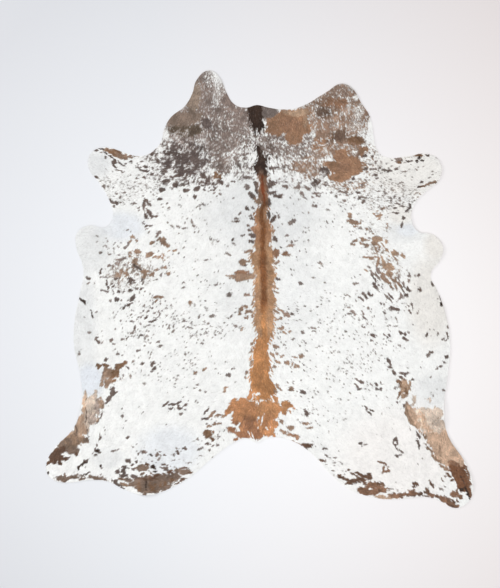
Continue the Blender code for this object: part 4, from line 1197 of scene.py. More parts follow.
# %% Spots: right hind leg
add_spots("right hind leg",
    "leg_cream", (424, 418, 84, 52, -12), (414, 400, 24, 9, 88, 0.95), (428, 400, 17, 14, 0, 0.6),
    (437, 413, 34, 34), (432, 433, 66, 36, -53), (425, 426, 60, 30, -50), (440, 430, 60, 44, -70),
    "leg_rose", (439, 444, 76, 38, -53), (433, 443, 44, 24, -53), (448, 440, 60, 34, -62),
    (446, 456, 70, 38, -48), (440, 456, 44, 22, -48), (455, 453, 50, 34, -55), (440, 423, 36, 6, 35, 0.4),
    (418, 416, 56, 30, -62, 0.5), (424, 429, 50, 30, -55, 0.6),
    "leg_tan", (411, 413, 50, 20, -72), (414, 421, 40, 18, -55), (438, 454, 40, 14, -60, 0.7),
    (455, 461, 44, 30, -30, 0.9), (452, 462, 44, 14, -30, 0.8),
    "leg_brown", (407.5, 412, 50, 10, -82, 0.9), (411, 422, 30, 10, -45, 0.9),
    (424, 436.5, 26, 5, -52, 0.9), (429, 448.5, 30, 5, -45, 0.9), (436, 458.5, 32, 7, -45, 0.9),
    # (440, 450) is a painted fold shadow on the right shank, and (437, 418) is painted shade in the
    # slanting crease at the hock
    (443, 466.5, 30, 7, -32, 0.9), (440, 450, 44, 6, -85, 0.45), (437, 418, 34, 3, 38, 0.5),
    "hoof_brown", (456, 468, 44, 24, -35), (459.5, 475, 44, 34, -50), (464, 466.5, 16, 12, 0, 0.8),
    (466, 482, 54, 24, -74), (469, 491, 36, 12, -80), (452, 471, 26, 7, -30), (457, 480, 24, 10, -50),
    (462, 484, 42, 27, -62),
    "rust_brown", (468, 476, 44, 9, -72, 0.8), (453, 463, 30, 9, -20, 0.8), (469.5, 486, 40, 6, -82, 0.7),
    "black_brown", (456, 465, 26, 5, -10, 0.35), (459, 473, 30, 6, -55, 0.4), (461.5, 489, 9, 8),
    (466, 488, 24, 4, -65), (468.5, 496, 24, 4, -72), (463, 482, 16, 4, -60, 0.8),
    "fawn", (403.4, 388, 50, 22, 86), (409.6, 385, 26, 8, 80), (404, 395, 18, 18, 0, 0.9),
    "brown", (398.7, 393, 20, 6, 80, 0.9), (397.8, 381.5, 14, 9, 40), (399, 386, 14, 7, -70, 0.8),
    (405, 392, 24, 8, -85, 0.6), (401, 386, 26, 6, -85, 0.5),
    "spot_dark", (389, 362, 22, 8, -60), (389.5, 367.5, 16, 8, -25), (393.5, 372.5, 14, 8, -40),
    (402, 372.6, 14, 6, -20), (401, 377.5, 10, 8), (405.3, 374.3, 6, 11), (403.5, 380, 8, 4, 0, 0.8),
    (408, 371.5, 12, 6), (412.5, 379, 9, 7, 20), (398, 401, 8, 6, 20), (404.3, 406, 16, 3, -80, 0.7),
    (400, 406, 14, 3, -80, 0.4), (357, 379.5, 14, 5, -35), (361, 382, 10, 4, -50), (356, 386, 14, 5, -40),
    (359.5, 388.5, 10, 6, 30), (377, 383.5, 12, 4, -35), (381.5, 383, 10, 4, -30), (378, 389, 10, 6, -15),
    (381, 389, 6, 5), (365.5, 408, 12, 7, -30), (368, 412.5, 12, 5, -40), (371, 410, 9, 6),
    (395, 442, 17, 18), (396.5, 448, 14, 4, -52), (402, 451.5, 13, 4, -45), (397.3, 455.5, 13, 6, 15),
    (401.5, 454, 7, 3, 0, 0.9), (417.3, 434, 18, 4, -68), (418, 443.5, 24, 6, -78),
    (409, 428, 8, 3, -70, 0.8), (361, 442.5, 9, 7, -20),
    "white", (395.2, 442.5, 5, 6, 0, 0.9), (403.5, 377.5, 5, 6, 0, 0.9), (402.5, 393, 7, 3, 0, 0.4),
    "rust_brown", (380.5, 462.7, 14, 5, -22), (384.5, 465, 8, 3, -50), (383, 469.5, 18, 7, 84),
    (387, 470.5, 16, 5, -8), (388.5, 468, 6, 4, 60),
    "ash", (371.5, 380, 6, 4, 0, 0.6), (371, 384.5, 10, 3, -50, 0.7), (387, 389, 8, 4, 60, 0.6),
    (394.5, 387.5, 8, 6, 0, 0.7), (361, 406.5, 4, 4, 0, 0.6), (349, 392, 10, 3, -40, 0.6),
    (343.5, 419, 8, 5, 0, 0.7), (347, 399.5, 6, 3, 0, 0.5), (382, 413, 6, 6, 0, 0.4),
    (387, 397.5, 12, 4, -30, 0.6), (365.5, 445, 13, 3, 5, 0.8), (405.5, 446, 6, 4, 0, 0.4),
    (432.5, 395, 6, 6, 0, 0.5), (444, 390, 6, 6, 0, 0.9), (431, 377, 5, 4, 0, 0.6),
    (326, 378.5, 7, 5, 0, 0.7), (323.5, 449, 8, 7, 0, 0.9), (325.5, 456, 8, 4, -20, 0.9),
    (328.5, 457.5, 7, 4, -30, 0.8), (334.5, 457.5, 12, 4, 5, 0.9), (338, 451.5, 5, 4, 0, 0.6),
    (333, 460.5, 6, 4, 0, 0.7), (339, 461.5, 7, 3, 0, 0.6), (333.5, 471, 9, 4, -25, 0.8),
)

# %% Spots: right rump
add_spots("right rump",
    "hoof", (349, 470, 7, 7), (346, 471.3, 6, 4, 0, 0.8), (353, 474, 18, 5, -20), (361, 474.5, 30, 7, -18),
    (369, 475.5, 18, 15), (362, 478.7, 30, 11, -5), (355.5, 480.5, 30, 7, -8), (365, 482.3, 12, 7, -35),
    (350, 482.7, 26, 6, -2), (347, 479, 22, 6, -15), (339, 476, 14, 8), (343, 477.6, 14, 4, -25),
    (321, 460.5, 16, 7), (442, 479, 11, 4, -60), (445, 475.5, 8, 4, -60), (448.5, 474.5, 14, 5, -40),
    (452, 479.5, 10, 5, 30), (415, 483.5, 15, 10, -15), (412.5, 486.5, 8, 4, -20), (431, 483.5, 14, 7, -55),
    (433, 487, 8, 4, -60),
    "rust_brown", (375, 485, 36, 20), (381, 489, 32, 16, -10), (387, 488, 16, 3, -8, 0.9),
    (364, 491, 34, 19, -10), (374, 492, 34, 17, -3),
    "hoof", (382, 482.5, 12, 5, -50, 0.95), (379, 483.5, 12, 10, 0, 0.6), (379.5, 489, 8, 20, 10, 0.5),
    "leg_tan", (381, 497.4, 20, 7, -5), (388.5, 498.3, 24, 5, 0, 0.9), (391, 497, 20, 6, 0, 0.9),
    "dark_tan", (396, 496, 40, 12),
    "rust_brown", (394, 493, 12, 6, -20, 0.9), (400.5, 493.2, 11, 6, -55), (402, 497, 14, 6, 0, 0.8),
    (410, 493.8, 40, 11), (411, 490.7, 14, 6), (430, 494, 24, 8, -20), (443, 499, 44, 11, -28),
    (450, 503, 40, 13, -25), (456, 506, 18, 8, -20), (454, 494, 20, 14), (460, 496.5, 14, 10),
    (456, 490.5, 8, 6, 20),
    "hoof", (419, 494, 13, 10, 0, 0.95), (427, 490, 13, 9, -60), (424.5, 492, 9, 6, -20),
    (437, 496.5, 17, 6, -35), (448, 499, 20, 5, -45), (452.5, 500.5, 18, 4, -45), (457, 500.5, 12, 4, -50),
    (449, 504, 30, 4, -25, 0.6), (426, 496, 22, 2.5, -8, 0.8), (410, 496.3, 30, 3, -2, 0.7),
    "ash", (442, 489, 12, 5, -30, 0.7), (441, 493, 10, 4, 60, 0.6), (445, 486, 6, 4, 0, 0.6),
    (390, 488.5, 12, 2, -10, 0.8), (398, 489.5, 9, 3, -30, 0.6),
)

# %% [markdown]
# ## The stripe along the spine
#
# The stripe is one long band. A row gives, at a height in the photograph, where its middle lies,
# how far it reaches to the left and to the right in millimetres, and, where it isn't full, how
# full it is. Headings name the tones of its sides and of its core. Between rows everything goes
# over evenly.

# %% Stripe table
Stripe = namedtuple("Stripe", "photo_y middle left right fill sides core", defaults=(1, None, None))
STRIPE = under_headings(Stripe, "sides core",
    "black_brown black_brown", (100, 254, 46, 36), (110, 255, 34, 30), (118, 256, 30, 30),
    (125, 257, 28, 30, 0.95), (130, 258, 26, 30, 0.75), (135, 259, 22, 22, 0.4),
    "spot_dark spot_dark", (139, 258, 15, 15, 0.1),
    "black_brown black_brown", (143, 255, 12, 12, 0.6), (150, 259, 13, 13, 0.9), (156, 262, 18, 18, 0.85),
    (161, 262, 22, 24), (167, 261, 36, 27),
    "black_brown umber", (172, 262, 34, 26),
    "rust_brown red_brown", (176, 263, 22, 28), (184, 263, 18, 27), (192, 263, 18, 23), (198, 263, 21, 25),
    "rust_brown stripe_core", (205, 264, 22, 25),
    "spine_brown stripe_core", (209, 263, 26, 22), (213, 262, 34, 22), (219, 262, 34, 26),
    (226, 263, 36, 38), (232, 263, 42, 46), (239, 263, 34, 34),
    "stripe_tan stripe_core", (246, 263, 44, 34), (251, 263, 48, 45), (256, 263, 65, 52),
    (262, 263, 58, 48), (268, 263, 40, 56), (276, 263, 40, 58), (286, 263, 40, 50), (296, 263, 38, 52),
    (304, 263, 38, 58),
    "stripe_tan orange", (314, 263, 42, 52), (324, 263, 42, 54), (330, 264, 36, 52), (335, 265, 34, 40),
    "orange orange", (339, 263, 42, 38), (345, 262, 38, 34), (351, 261, 38, 32), (357, 261, 44, 40),
    (363, 261, 44, 46), (371, 261, 48, 50), (378, 261, 56, 46), (384, 262, 56, 52), (389, 263, 56, 66),
    (394, 264, 48, 50), (398, 264, 46, 46, 0.9), (402, 263, 40, 44, 0.5),
)
print("stripe rows", len(STRIPE))

# %% [markdown]
# ## Flecks and tints
#
# Between the spots the white coat is peppered with tiny flecks, dense behind the ribs and on the
# shoulders and sparse on the thighs. They are too many to place one by one, so each row is an oval
# zone with a number of small clumps per square decimetre, and a clump holds one to three flecks.
# The tints are wide, faint ovals that tint the white ground itself; the grey one along the left flank's
# edge is painted shade where that edge slopes down to the floor.

# %% Fleck zones and tints
Zone = namedtuple("Zone", "photo_x photo_y long wide crowd turn", defaults=(0,))
FLECK_ZONES = [Zone(*row) for row in (
    (150, 318, 190, 110, 10), (205, 322, 210, 95, 10), (165, 352, 230, 150, 6), (120, 190, 160, 120, 6),
    (165, 205, 160, 120, 2), (205, 240, 250, 300, 2.5), (130, 245, 200, 90, 3), (150, 420, 330, 260, 0.6),
    (205, 380, 180, 140, 2.5), (205, 450, 130, 90, 3, 40), (160, 456, 200, 50, 3), (400, 185, 260, 170, 5),
    (372, 190, 160, 150, 5), (310, 230, 250, 250, 2.5), (330, 335, 330, 220, 7), (375, 320, 200, 260, 3),
    (330, 385, 330, 160, 3.5), (400, 440, 330, 300, 0.3), (310, 430, 180, 170, 2.5),
    (335, 462, 160, 60, 3, -30), (95, 300, 150, 450, 0.5), (430, 330, 120, 350, 0.5),
)]
TINTS = under_headings(Patch, "tone",
    "grey_white", (265, 212, 280, 170, 0, 0.68), (270, 290, 270, 280, 0, 0.3), (98, 165, 70, 60, 0, 0.8),
    "blue_white", (120, 226, 120, 70, 0, 0.6),
    # the second oval, along the left flank's edge, is painted shade where that edge slopes down
    "grey_white", (92, 245, 110, 130, 0, 0.6), (84, 325, 60, 250, 0, 0.65),
    "blue_white", (90, 380, 70, 80, 0, 0.85), (170, 450, 150, 120, 0, 0.5),
    "grey_white", (108, 458, 70, 50, 0, 0.5), (402, 232, 100, 50, 0, 0.5),
    "blue_white", (407, 230, 50, 30, 0, 0.5),
    "ivory", (400, 214, 60, 50, 0, 0.7), (436, 245, 60, 70, 0, 0.8), (430, 300, 110, 220, 0, 0.75),
    "grey_white", (432, 390, 90, 80, 0, 0.5),
    "rose_white", (400, 455, 300, 230, 0, 0.3),
    "ivory", (410, 172, 200, 120, 0, 0.6),
)
print("fleck zones", len(FLECK_ZONES), "tints", len(TINTS))

# %% [markdown]
# ## Painting the canvas
#
# Three layers are painted: the ground colour, the tone of the marks, and the share of coloured
# hair, from 0 to 1. An oval only touches the window of the canvas around it. Its share falls from
# full inside to nothing outside, and where the grain at a cell is below that share the hair is
# coloured. That makes edges ragged and fills roan with grain in one step. A style says how far
# hair spreads past the oval, how soft its edge is as a share of its half width and at most, how
# gently coloured hair goes over to white, and how much the white hairs between are veiled.

# %% Oval window and painting
ground = np.ones((canvas_rows, canvas_columns, 3)) * np.array(TONES["white"], dtype=float)
tone = np.ones((canvas_rows, canvas_columns, 3)) * np.array(TONES["fleck_grey"], dtype=float)
pigment = np.zeros((canvas_rows, canvas_columns))
Style = namedtuple("Style", "spread edge softest mingling veil")
SPOT_STYLE = Style(0.0006, 0.25, 0.006, 0.50, 0.12)
ROAN_STYLE = Style(0.0, 0.30, 0.080, 0.72, 0.35)
HAIR_EDGE = 0.0030             # no edge is sharper than this
WINDOW_SHARE = 1.6             # the window round an oval, as a share of its own reach
WINDOW_MARGIN = 0.03
TINT_EDGE = 0.8                # the soft edge of a tint, as a share of its half width


def window(x, y, reach):
    """The part of the canvas within that reach of a place, to all four sides."""
    columns = slice(*np.searchsorted(cell_x, (x - reach, x + reach)))
    rows = slice(*np.searchsorted(cell_y, (y - reach, y + reach)))
    return rows, columns


def turned(x, y, turn):
    """Offsets to the right and up, as offsets along and across a direction."""
    return x * math.cos(turn) + y * math.sin(turn), y * math.cos(turn) - x * math.sin(turn)


def depth_in_oval(x, y, row):
    """How deep each point lies in an oval, in metres, and negative outside."""
    from_x = x - across_of(row.photo_x)
    from_y = y - along_of(row.photo_y)
    lengthwise, crosswise = turned(from_x, from_y, math.radians(row.turn))
    reach = np.hypot(lengthwise / row.long, crosswise / row.wide) / MILLIMETRE
    return (1 - reach) * min(row.long, row.wide) * MILLIMETRE


def smooth(share):
    """An even share from 0 to 1, with soft ends."""
    share = np.clip(share, 0, 1)
    return share * share * (3 - 2 * share)


def lay_tone(part, colour, hit):
    """Mix one tone into a part of the canvas."""
    tone[part] += (np.array(colour, dtype=float) - tone[part]) * hit[..., None]


def coloured(share, grain, style):
    """Where hair is coloured: all of it at a share of 1, none at 0, and by the grain in between."""
    return np.clip((share - grain) / style.mingling + share, 0, 1)


def paint_patch(row, style):
    """Paint one oval: its tone, and its share of coloured hair."""
    reach = max(row.long, row.wide) * MILLIMETRE * WINDOW_SHARE + WINDOW_MARGIN
    part = window(across_of(row.photo_x), along_of(row.photo_y), reach)
    edge = HAIR_EDGE + min(style.edge * min(row.long, row.wide) * MILLIMETRE, style.softest)
    depth = depth_in_oval(bent_x[part], bent_y[part], row) + style.spread
    share = row.fill * smooth(0.5 + depth / (2 * edge))
    hit = coloured(share, GRAINS[row.grain][part], style)
    if row.tone == "white":
        pigment[part] *= 1 - hit
    else:
        lay_tone(part, TONES[row.tone], hit)
        pigment[part] = np.maximum(pigment[part], hit + (1 - hit) * style.veil * share)


def paint_tint(row):
    """Shade the white ground in one wide oval."""
    edge = TINT_EDGE * min(row.long, row.wide) * MILLIMETRE
    share = row.fill * smooth(0.5 + depth_in_oval(canvas_x, canvas_y, row) / edge)
    ground[:] += (np.array(TONES[row.tone], dtype=float) - ground) * share[..., None]


print("painting helpers ready")

# %% Painting the flecks
FLECK_LENGTH = (0.0030, 0.0062)
FLECK_SLIMNESS = (0.5, 0.85)
FLECK_STRENGTH = (0.3, 0.95)
FLECK_TURN = 0.3               # radians, away from the nap
FLECK_CORE = 1.9               # a fleck is full while this, less its fall, is over 1
FLECK_FALL = 1.5               # from the middle of a fleck to its rim
CLUMP_SPREAD = 0.016
CLUMP_SIZE = (1, 4)            # one to three flecks, because the last number isn't drawn
ZONE_EDGE = (0.85, 0.3)        # a zone ends somewhere from 0.85 to 1.15 of its size
SQUARE_DECIMETRE = 0.01


def paint_fleck(x, y, length, width, angle, strength, colour):
    """Paint one fleck: a tiny oval, full in its core, that fades towards its edge."""
    part = window(x, y, 2 * length)
    lengthwise, crosswise = turned(canvas_x[part] - x, canvas_y[part] - y, angle)
    fullness = FLECK_CORE - FLECK_FALL * np.hypot(lengthwise / length, crosswise / width)
    hit = strength * np.clip(fullness, 0, 1)
    lay_tone(part, colour, np.where(hit > pigment[part], 1.0, 0.0))
    pigment[part] = np.maximum(pigment[part], hit)


def scatter_flecks(row, draw):
    """Strew a zone with flecks along the nap, in loose clumps of one to three."""
    area = math.pi * row.long * row.wide * MILLIMETRE ** 2
    painted = 0
    for _ in range(round(row.crowd * area / SQUARE_DECIMETRE)):
        distance = math.sqrt(draw.random()) * (ZONE_EDGE[0] + ZONE_EDGE[1] * draw.random())
        around = 2 * math.pi * draw.random()
        lengthwise = row.long * MILLIMETRE * distance * math.cos(around)
        crosswise = row.wide * MILLIMETRE * distance * math.sin(around)
        from_x, from_y = turned(lengthwise, crosswise, -math.radians(row.turn))
        for _ in range(draw.integers(*CLUMP_SIZE)):
            x = across_of(row.photo_x) + from_x + CLUMP_SPREAD * draw.standard_normal()
            y = along_of(row.photo_y) + from_y + CLUMP_SPREAD * draw.standard_normal()
            length = draw.uniform(*FLECK_LENGTH)
            width = length * draw.uniform(*FLECK_SLIMNESS)
            out, down = nap_at(np.array([x]), np.array([y]))
            angle = math.atan2(down[0], out[0]) + FLECK_TURN * draw.standard_normal()
            strength = draw.uniform(*FLECK_STRENGTH)
            paint_fleck(x, y, length, width, angle, strength, TONES["fleck_grey"])
            painted += 1
    return painted


print("flecks are", FLECK_LENGTH[0] * 2000, "to", FLECK_LENGTH[1] * 2000, "mm long")

# %% Painting the stripe
STRIPE_EDGE = 0.010
CORE_WIDTH = 0.42              # how fast the core goes over to the sides, in half widths
CORE_START = 1.25
TUFT_STEP = 0.009              # from one tuft to the next, times the share below
TUFT_STEP_SHARE = (0.4, 1.6)
TUFT_SHIFT = 0.006             # how far a tuft stands out, times the share below
TUFT_SHIFT_SHARE = (-1, 1.6)
TUFT_LENGTH = (0.006, 0.012)   # half of a tuft's length
TUFT_SLIMNESS = 0.3
TUFT_SLANT = (20, 55)          # degrees away from straight down
TUFT_STRENGTH = (0.7, 1.3)
stripe_heights = [along_of(row.photo_y) for row in reversed(STRIPE)]
stripe_middles = [across_of(row.middle) for row in STRIPE]


def down_the_stripe(along, values):
    """What the stripe's table says at each height, going over evenly from row to row."""
    return np.interp(along, stripe_heights, list(reversed(values)))


def paint_stripe():
    """Paint the band down the spine."""
    offset = bent_x - down_the_stripe(bent_y, stripe_middles)
    left = down_the_stripe(bent_y, [row.left * MILLIMETRE for row in STRIPE])
    right = down_the_stripe(bent_y, [row.right * MILLIMETRE for row in STRIPE])
    half = np.where(offset < 0, left, right)
    within = (canvas_y > stripe_heights[0]) & (canvas_y < stripe_heights[-1])
    share = smooth(0.5 + (half - np.abs(offset)) / (2 * STRIPE_EDGE)) * within
    share = share * down_the_stripe(bent_y, [row.fill for row in STRIPE])
    hit = coloured(share, GRAINS["streak"], SPOT_STYLE)
    core = smooth(CORE_START - np.abs(offset) / (CORE_WIDTH * half))
    for channel in range(3):
        sides = down_the_stripe(bent_y, [TONES[row.sides][channel] for row in STRIPE])
        middle = down_the_stripe(bent_y, [TONES[row.core][channel] for row in STRIPE])
        colour = sides + (middle - sides) * core
        tone[..., channel] += (colour - tone[..., channel]) * hit
    np.maximum(pigment, hit, out=pigment)


def paint_tufts(draw):
    """Let tufts of hair slant out and down past both edges of the stripe."""
    for side, reaches in ((-1, [row.left for row in STRIPE]), (1, [row.right for row in STRIPE])):
        along = stripe_heights[-1]
        while along > stripe_heights[0]:
            along -= TUFT_STEP * draw.uniform(*TUFT_STEP_SHARE)
            reach = down_the_stripe(along, reaches) * MILLIMETRE
            reach = reach + TUFT_SHIFT * draw.uniform(*TUFT_SHIFT_SHARE)
            x = down_the_stripe(along, stripe_middles) + side * reach
            angle = math.radians(-90 + side * draw.uniform(*TUFT_SLANT))
            length = draw.uniform(*TUFT_LENGTH)
            nearest = min(STRIPE, key=lambda row: abs(along_of(row.photo_y) - along))
            strength = nearest.fill * draw.uniform(*TUFT_STRENGTH)
            paint_fleck(x, along, length, TUFT_SLIMNESS * length, angle, strength, TONES[nearest.sides])


print("stripe from", round(stripe_heights[-1], 2), "to", round(stripe_heights[0], 2))

# %% Paint everything
TONE_LIMITS = (0.8, 1.2)
GROUND_LIMITS = (0.94, 1.02)


def mottle(limits, **weights):
    """Factors around 1 that lighten and darken the hide in lumps."""
    factors = sum((weight * LAYERS[name] for name, weight in weights.items()), start=1.0)
    return np.clip(factors, *limits)[..., None]


for row in TINTS:
    paint_tint(row)
fleck_draw = np.random.default_rng(31)
fleck_count = sum(scatter_flecks(row, fleck_draw) for row in FLECK_ZONES)
for row in ROAN:
    paint_patch(row, ROAN_STYLE)
paint_stripe()
paint_tufts(fleck_draw)
for row in spots:
    paint_patch(row, SPOT_STYLE)
tone *= mottle(TONE_LIMITS, medium=0.035, coarse=0.045, broad=0.03)
ground *= mottle(GROUND_LIMITS, pin=0.010, medium=0.008, coarse=0.006)
print("flecks", fleck_count, "coloured share", round(float(pigment.mean()), 3))

# %% [markdown]
# ## One lock of hair
#
# The coat is short, about 10 mm, and lies so flat that a lock reads as a slim blade with a soft
# ridge. It is modelled once, at size 1: a circle of four points is a square on its corner, two of
# its corners are drawn back towards the root and pressed down, and an edge from root to tip makes
# the ridge.

# %% Model the lock
SIDE_CORNERS = 0.25            # the corners further out than this are the two at the sides
LOCK_SHOULDER = -0.16          # how far they are drawn back from the middle
LOCK_FOLD = -1.0               # and how far below the ridge they lie, before scaling


def model_lock():
    """A blade that points along +Y, its root at y = -0.5 and its tip at y = 0.5."""
    deselect_all()
    bpy.ops.mesh.primitive_circle_add(vertices=4, radius=0.5, fill_type="NGON")
    lock = named(bpy.context.active_object, "lock")
    bpy.ops.object.mode_set(mode="EDIT")
    bpy.ops.mesh.select_mode(type="VERT")
    bpy.ops.mesh.select_all(action="DESELECT")
    bpy.ops.object.mode_set(mode="OBJECT")
    for vertex in lock.data.vertices:
        vertex.select = abs(vertex.co.x) > SIDE_CORNERS
    bpy.ops.object.mode_set(mode="EDIT")
    bpy.ops.transform.translate(value=(0, LOCK_SHOULDER, LOCK_FOLD))
    bpy.ops.mesh.select_all(action="INVERT")
    bpy.ops.mesh.vert_connect()
    bpy.ops.object.mode_set(mode="OBJECT")
    return lock


lock = model_lock()
lock_points = points_of(lock.data)
lock_faces = np.array([list(face.vertices) for face in lock.data.polygons])
lock_rises = [round(face.normal.z, 3) for face in lock.data.polygons]
bpy.data.objects.remove(lock, do_unlink=True)
print("lock points", len(lock_points), "faces", lock_faces.tolist(), "facing up", lock_rises)

# %% [markdown]
# ## Where the locks grow
#
# Roots sit on a fine grid, each moved a little at random, so that the coat is even but never
# regular. A lock follows the nap, with a slight sway that neighbours share and a little of its
# own. Near the cut edge a lock is shortened until its tip reaches past it by no more than a
# millimetre or two.

# %% Roots and their locks
ROOT_SPACING = 0.00268
LOCK_LENGTH = 0.0105
LOCK_WIDTH = 0.0031
LOCK_VARIETY = (0.75, 1.25)    # how much locks differ from that length and width
ROOT_DEPTH = 0.0035            # roots stay this far inside the cut edge
SWAY = 0.16                    # radians, shared by neighbours
SWAY_SIZE = 0.05
STRAY = 0.14                   # radians, each lock's own

draw = np.random.default_rng(41)
root_columns = math.ceil((box_high.x - box_low.x) / ROOT_SPACING)
root_rows = math.ceil((box_high.y - box_low.y) / ROOT_SPACING)
root_x, root_y = np.meshgrid(np.arange(root_columns), np.arange(root_rows))
root_x = box_low.x + (root_x.ravel() + draw.random(root_x.size)) * ROOT_SPACING
root_y = box_low.y + (root_y.ravel() + draw.random(root_y.size)) * ROOT_SPACING
root_depth = depth_inside(root_x, root_y)
grows = root_depth > ROOT_DEPTH
root_x, root_y, root_depth = root_x[grows], root_y[grows], root_depth[grows]
count = len(root_x)
sway = read_canvas(lumps(SWAY_SIZE, seed=51), root_x, root_y)
angle = np.arctan2(read_canvas(nap_y, root_x, root_y), read_canvas(nap_x, root_x, root_y))
angle += SWAY * sway + STRAY * draw.standard_normal(count)
way_x = np.cos(angle)
way_y = np.sin(angle)
lock_length = LOCK_LENGTH * draw.uniform(*LOCK_VARIETY, count)
lock_width = LOCK_WIDTH * draw.uniform(*LOCK_VARIETY, count)
print("locks", count)

# %% Shorten the locks at the edge
NEAR_EDGE = 0.9 * EDGE_REACH   # only locks this close to the edge can reach past it
TIP_OVERHANG = 0.0015
SHORTEN_STEPS = 4
SHORTEN_TO = 0.72
near_edge = np.flatnonzero(root_depth < NEAR_EDGE)
for _ in range(SHORTEN_STEPS):
    tip_x = root_x[near_edge] + way_x[near_edge] * lock_length[near_edge]
    tip_y = root_y[near_edge] + way_y[near_edge] * lock_length[near_edge]
    too_far = near_edge[depth_inside(tip_x, tip_y) < -TIP_OVERHANG]
    lock_length[too_far] *= SHORTEN_TO
print("locks near the edge", len(near_edge), "still long", len(too_far))

# %% [markdown]
# ## The colour of each lock
#
# A lock looks at the canvas a little ahead of its root, because that is where it shows. A hair is
# either coloured or white, so the canvas' share is sharpened against a number of the lock's own:
# at the ragged edge of a mark, coloured and white locks mingle. Each lock is also a touch lighter
# or darker than the next.

# %% Colour the locks
SHOWS_AT = 0.45                # the share of its length where a lock is seen best
LOCK_THRESHOLD = (0.2, 0.8)    # each lock's own number, against which its share is sharpened
LOCK_CONTRAST = 0.6
TONE_VARIETY = 0.10            # how much the marks differ from lock to lock
COLOUR_VARIETY = 0.02          # and all the hair
LOCK_RISE = (0.0010, 0.0022)   # how high a tip stands over its root
LOCK_ROLL = 0.14
STRAND_RANGE = 400.0           # keeps the strands of one lock apart from those of the next
shown_x = root_x + way_x * lock_length * SHOWS_AT
shown_y = root_y + way_y * lock_length * SHOWS_AT
own_share = read_canvas(pigment, shown_x, shown_y) - draw.uniform(*LOCK_THRESHOLD, count)
own_share = np.clip(own_share / LOCK_CONTRAST + 0.5, 0, 1)
own_ground = read_canvas(ground, shown_x, shown_y)
own_tone = read_canvas(tone, shown_x, shown_y)
own_tone *= (1.0 + TONE_VARIETY * draw.standard_normal(count))[:, None]
lock_colour = to_light(own_ground + (own_tone - own_ground) * own_share[:, None])
lock_colour *= (1.0 + COLOUR_VARIETY * draw.standard_normal(count))[:, None]
lock_rise = draw.uniform(*LOCK_RISE, count)
lock_roll = draw.normal(0.0, LOCK_ROLL, count)
lock_strand = draw.uniform(0.0, STRAND_RANGE, count)
print("coloured locks", int((own_share > 0.5).sum()))

# %% [markdown]
# ## Growing the coat
#
# The coat is made in bands from neck to rump, each with the same number of locks, so that no
# single mesh gets too heavy. A band is one mesh: the lock's four points are laid out for all its
# roots at once, turned to the nap, and set on the rippled leather. Three values are stored on the
# points for the material: the lock's colour, a number that runs across its strands, and how far a
# point lies towards the tip.

# %% Grow one band of hair
ROOT_RISE = 0.0002
RIDGE_HEIGHT = 0.00035


def grow_band(name, chosen):
    """One mesh with all the locks whose roots are chosen."""
    across, reach, ridge = lock_points.T
    reach = reach + 0.5
    along = reach * lock_length[chosen, None]
    sideways = across * lock_width[chosen, None]
    x = root_x[chosen, None] + way_x[chosen, None] * along + way_y[chosen, None] * sideways
    y = root_y[chosen, None] + way_y[chosen, None] * along - way_x[chosen, None] * sideways
    rise = ROOT_RISE + reach * lock_rise[chosen, None]
    rise = rise + ridge * RIDGE_HEIGHT + sideways * lock_roll[chosen, None]
    z = read_canvas(skin_height, x, y) + np.maximum(rise, 0.0)
    points = np.stack([x, y, z], axis=-1).reshape(-1, 3)
    corners = len(lock_points)
    first = (np.arange(len(chosen)) * corners)[:, None, None]
    faces = (lock_faces[None] + first).reshape(-1, lock_faces.shape[1])
    mesh = bpy.data.meshes.new(name)
    mesh.vertices.add(len(points))
    mesh.vertices.foreach_set("co", points.ravel())
    mesh.loops.add(faces.size)
    mesh.loops.foreach_set("vertex_index", faces.ravel())
    mesh.polygons.add(len(faces))
    mesh.polygons.foreach_set("loop_start", np.arange(len(faces)) * lock_faces.shape[1])
    mesh.update(calc_edges=True)
    mesh.polygons.foreach_set("use_smooth", np.ones(len(faces), dtype=bool))
    colour = np.ones((len(chosen), corners, 4))
    colour[..., :3] = lock_colour[chosen, None, :]
    store(mesh, "coat_colour", "FLOAT_COLOR", "color", colour)
    store(mesh, "strand", "FLOAT", "value", lock_strand[chosen, None] + across)
    store(mesh, "tip", "FLOAT", "value", np.broadcast_to(reach, along.shape))
    bake_map(mesh, points, faces)
    return add_object(name, mesh)


def store(mesh, name, kind, field, values):
    """Store one value for each point of a mesh."""
    layer = mesh.attributes.new(name, kind, "POINT")
    layer.data.foreach_set(field, np.ascontiguousarray(values, dtype=np.float32).ravel())


def bake_map(mesh, points, faces):
    """A flat map of the piece as seen from above, which keeps the pattern when it is baked."""
    low = points.min(axis=0)
    size = points.max(axis=0) - low
    flat = ((points - low) / size)[:, :2]
    layer = mesh.uv_layers.new(name="OFBake")
    layer.data.foreach_set("uv", flat[faces.ravel()].astype(np.float32).ravel())


skin_height = lift(canvas_x, canvas_y) + LEATHER_THICKNESS
print("skin height up to", round(float(skin_height.max()), 4))

# %% Grow the coat
BANDS = ("coat_neck", "coat_shoulders", "coat_ribs", "coat_loins", "coat_rump")
from_neck = np.argsort(-root_y)
coats = []
for name, chosen in zip(BANDS, np.array_split(from_neck, len(BANDS))):
    coat = grow_band(name, np.sort(chosen))
    coats.append(coat)
    print(name, "triangles", len(coat.data.polygons), "points", len(coat.data.vertices))

# %% [markdown]
# ## The hair material
#
# Hair takes the colour stored on its lock. Each blade stands for a few strands, so a fine noise
# that runs across the blade draws them: it lightens and darkens the colour, roughens the gloss and
# raises the strands in the bump. Towards the root less light gets in, so the blade is darker there.

# %% Hair material
STRANDS_ACROSS = 3.2
ROOT_SHADE = 0.86              # how light a blade is at its root, in the gap between two strands
STRAND_SHADE = 0.20
TIP_SHADE = 0.08
HAIR_ROUGHNESS = 0.46
ROUGHNESS_VARIETY = 0.2


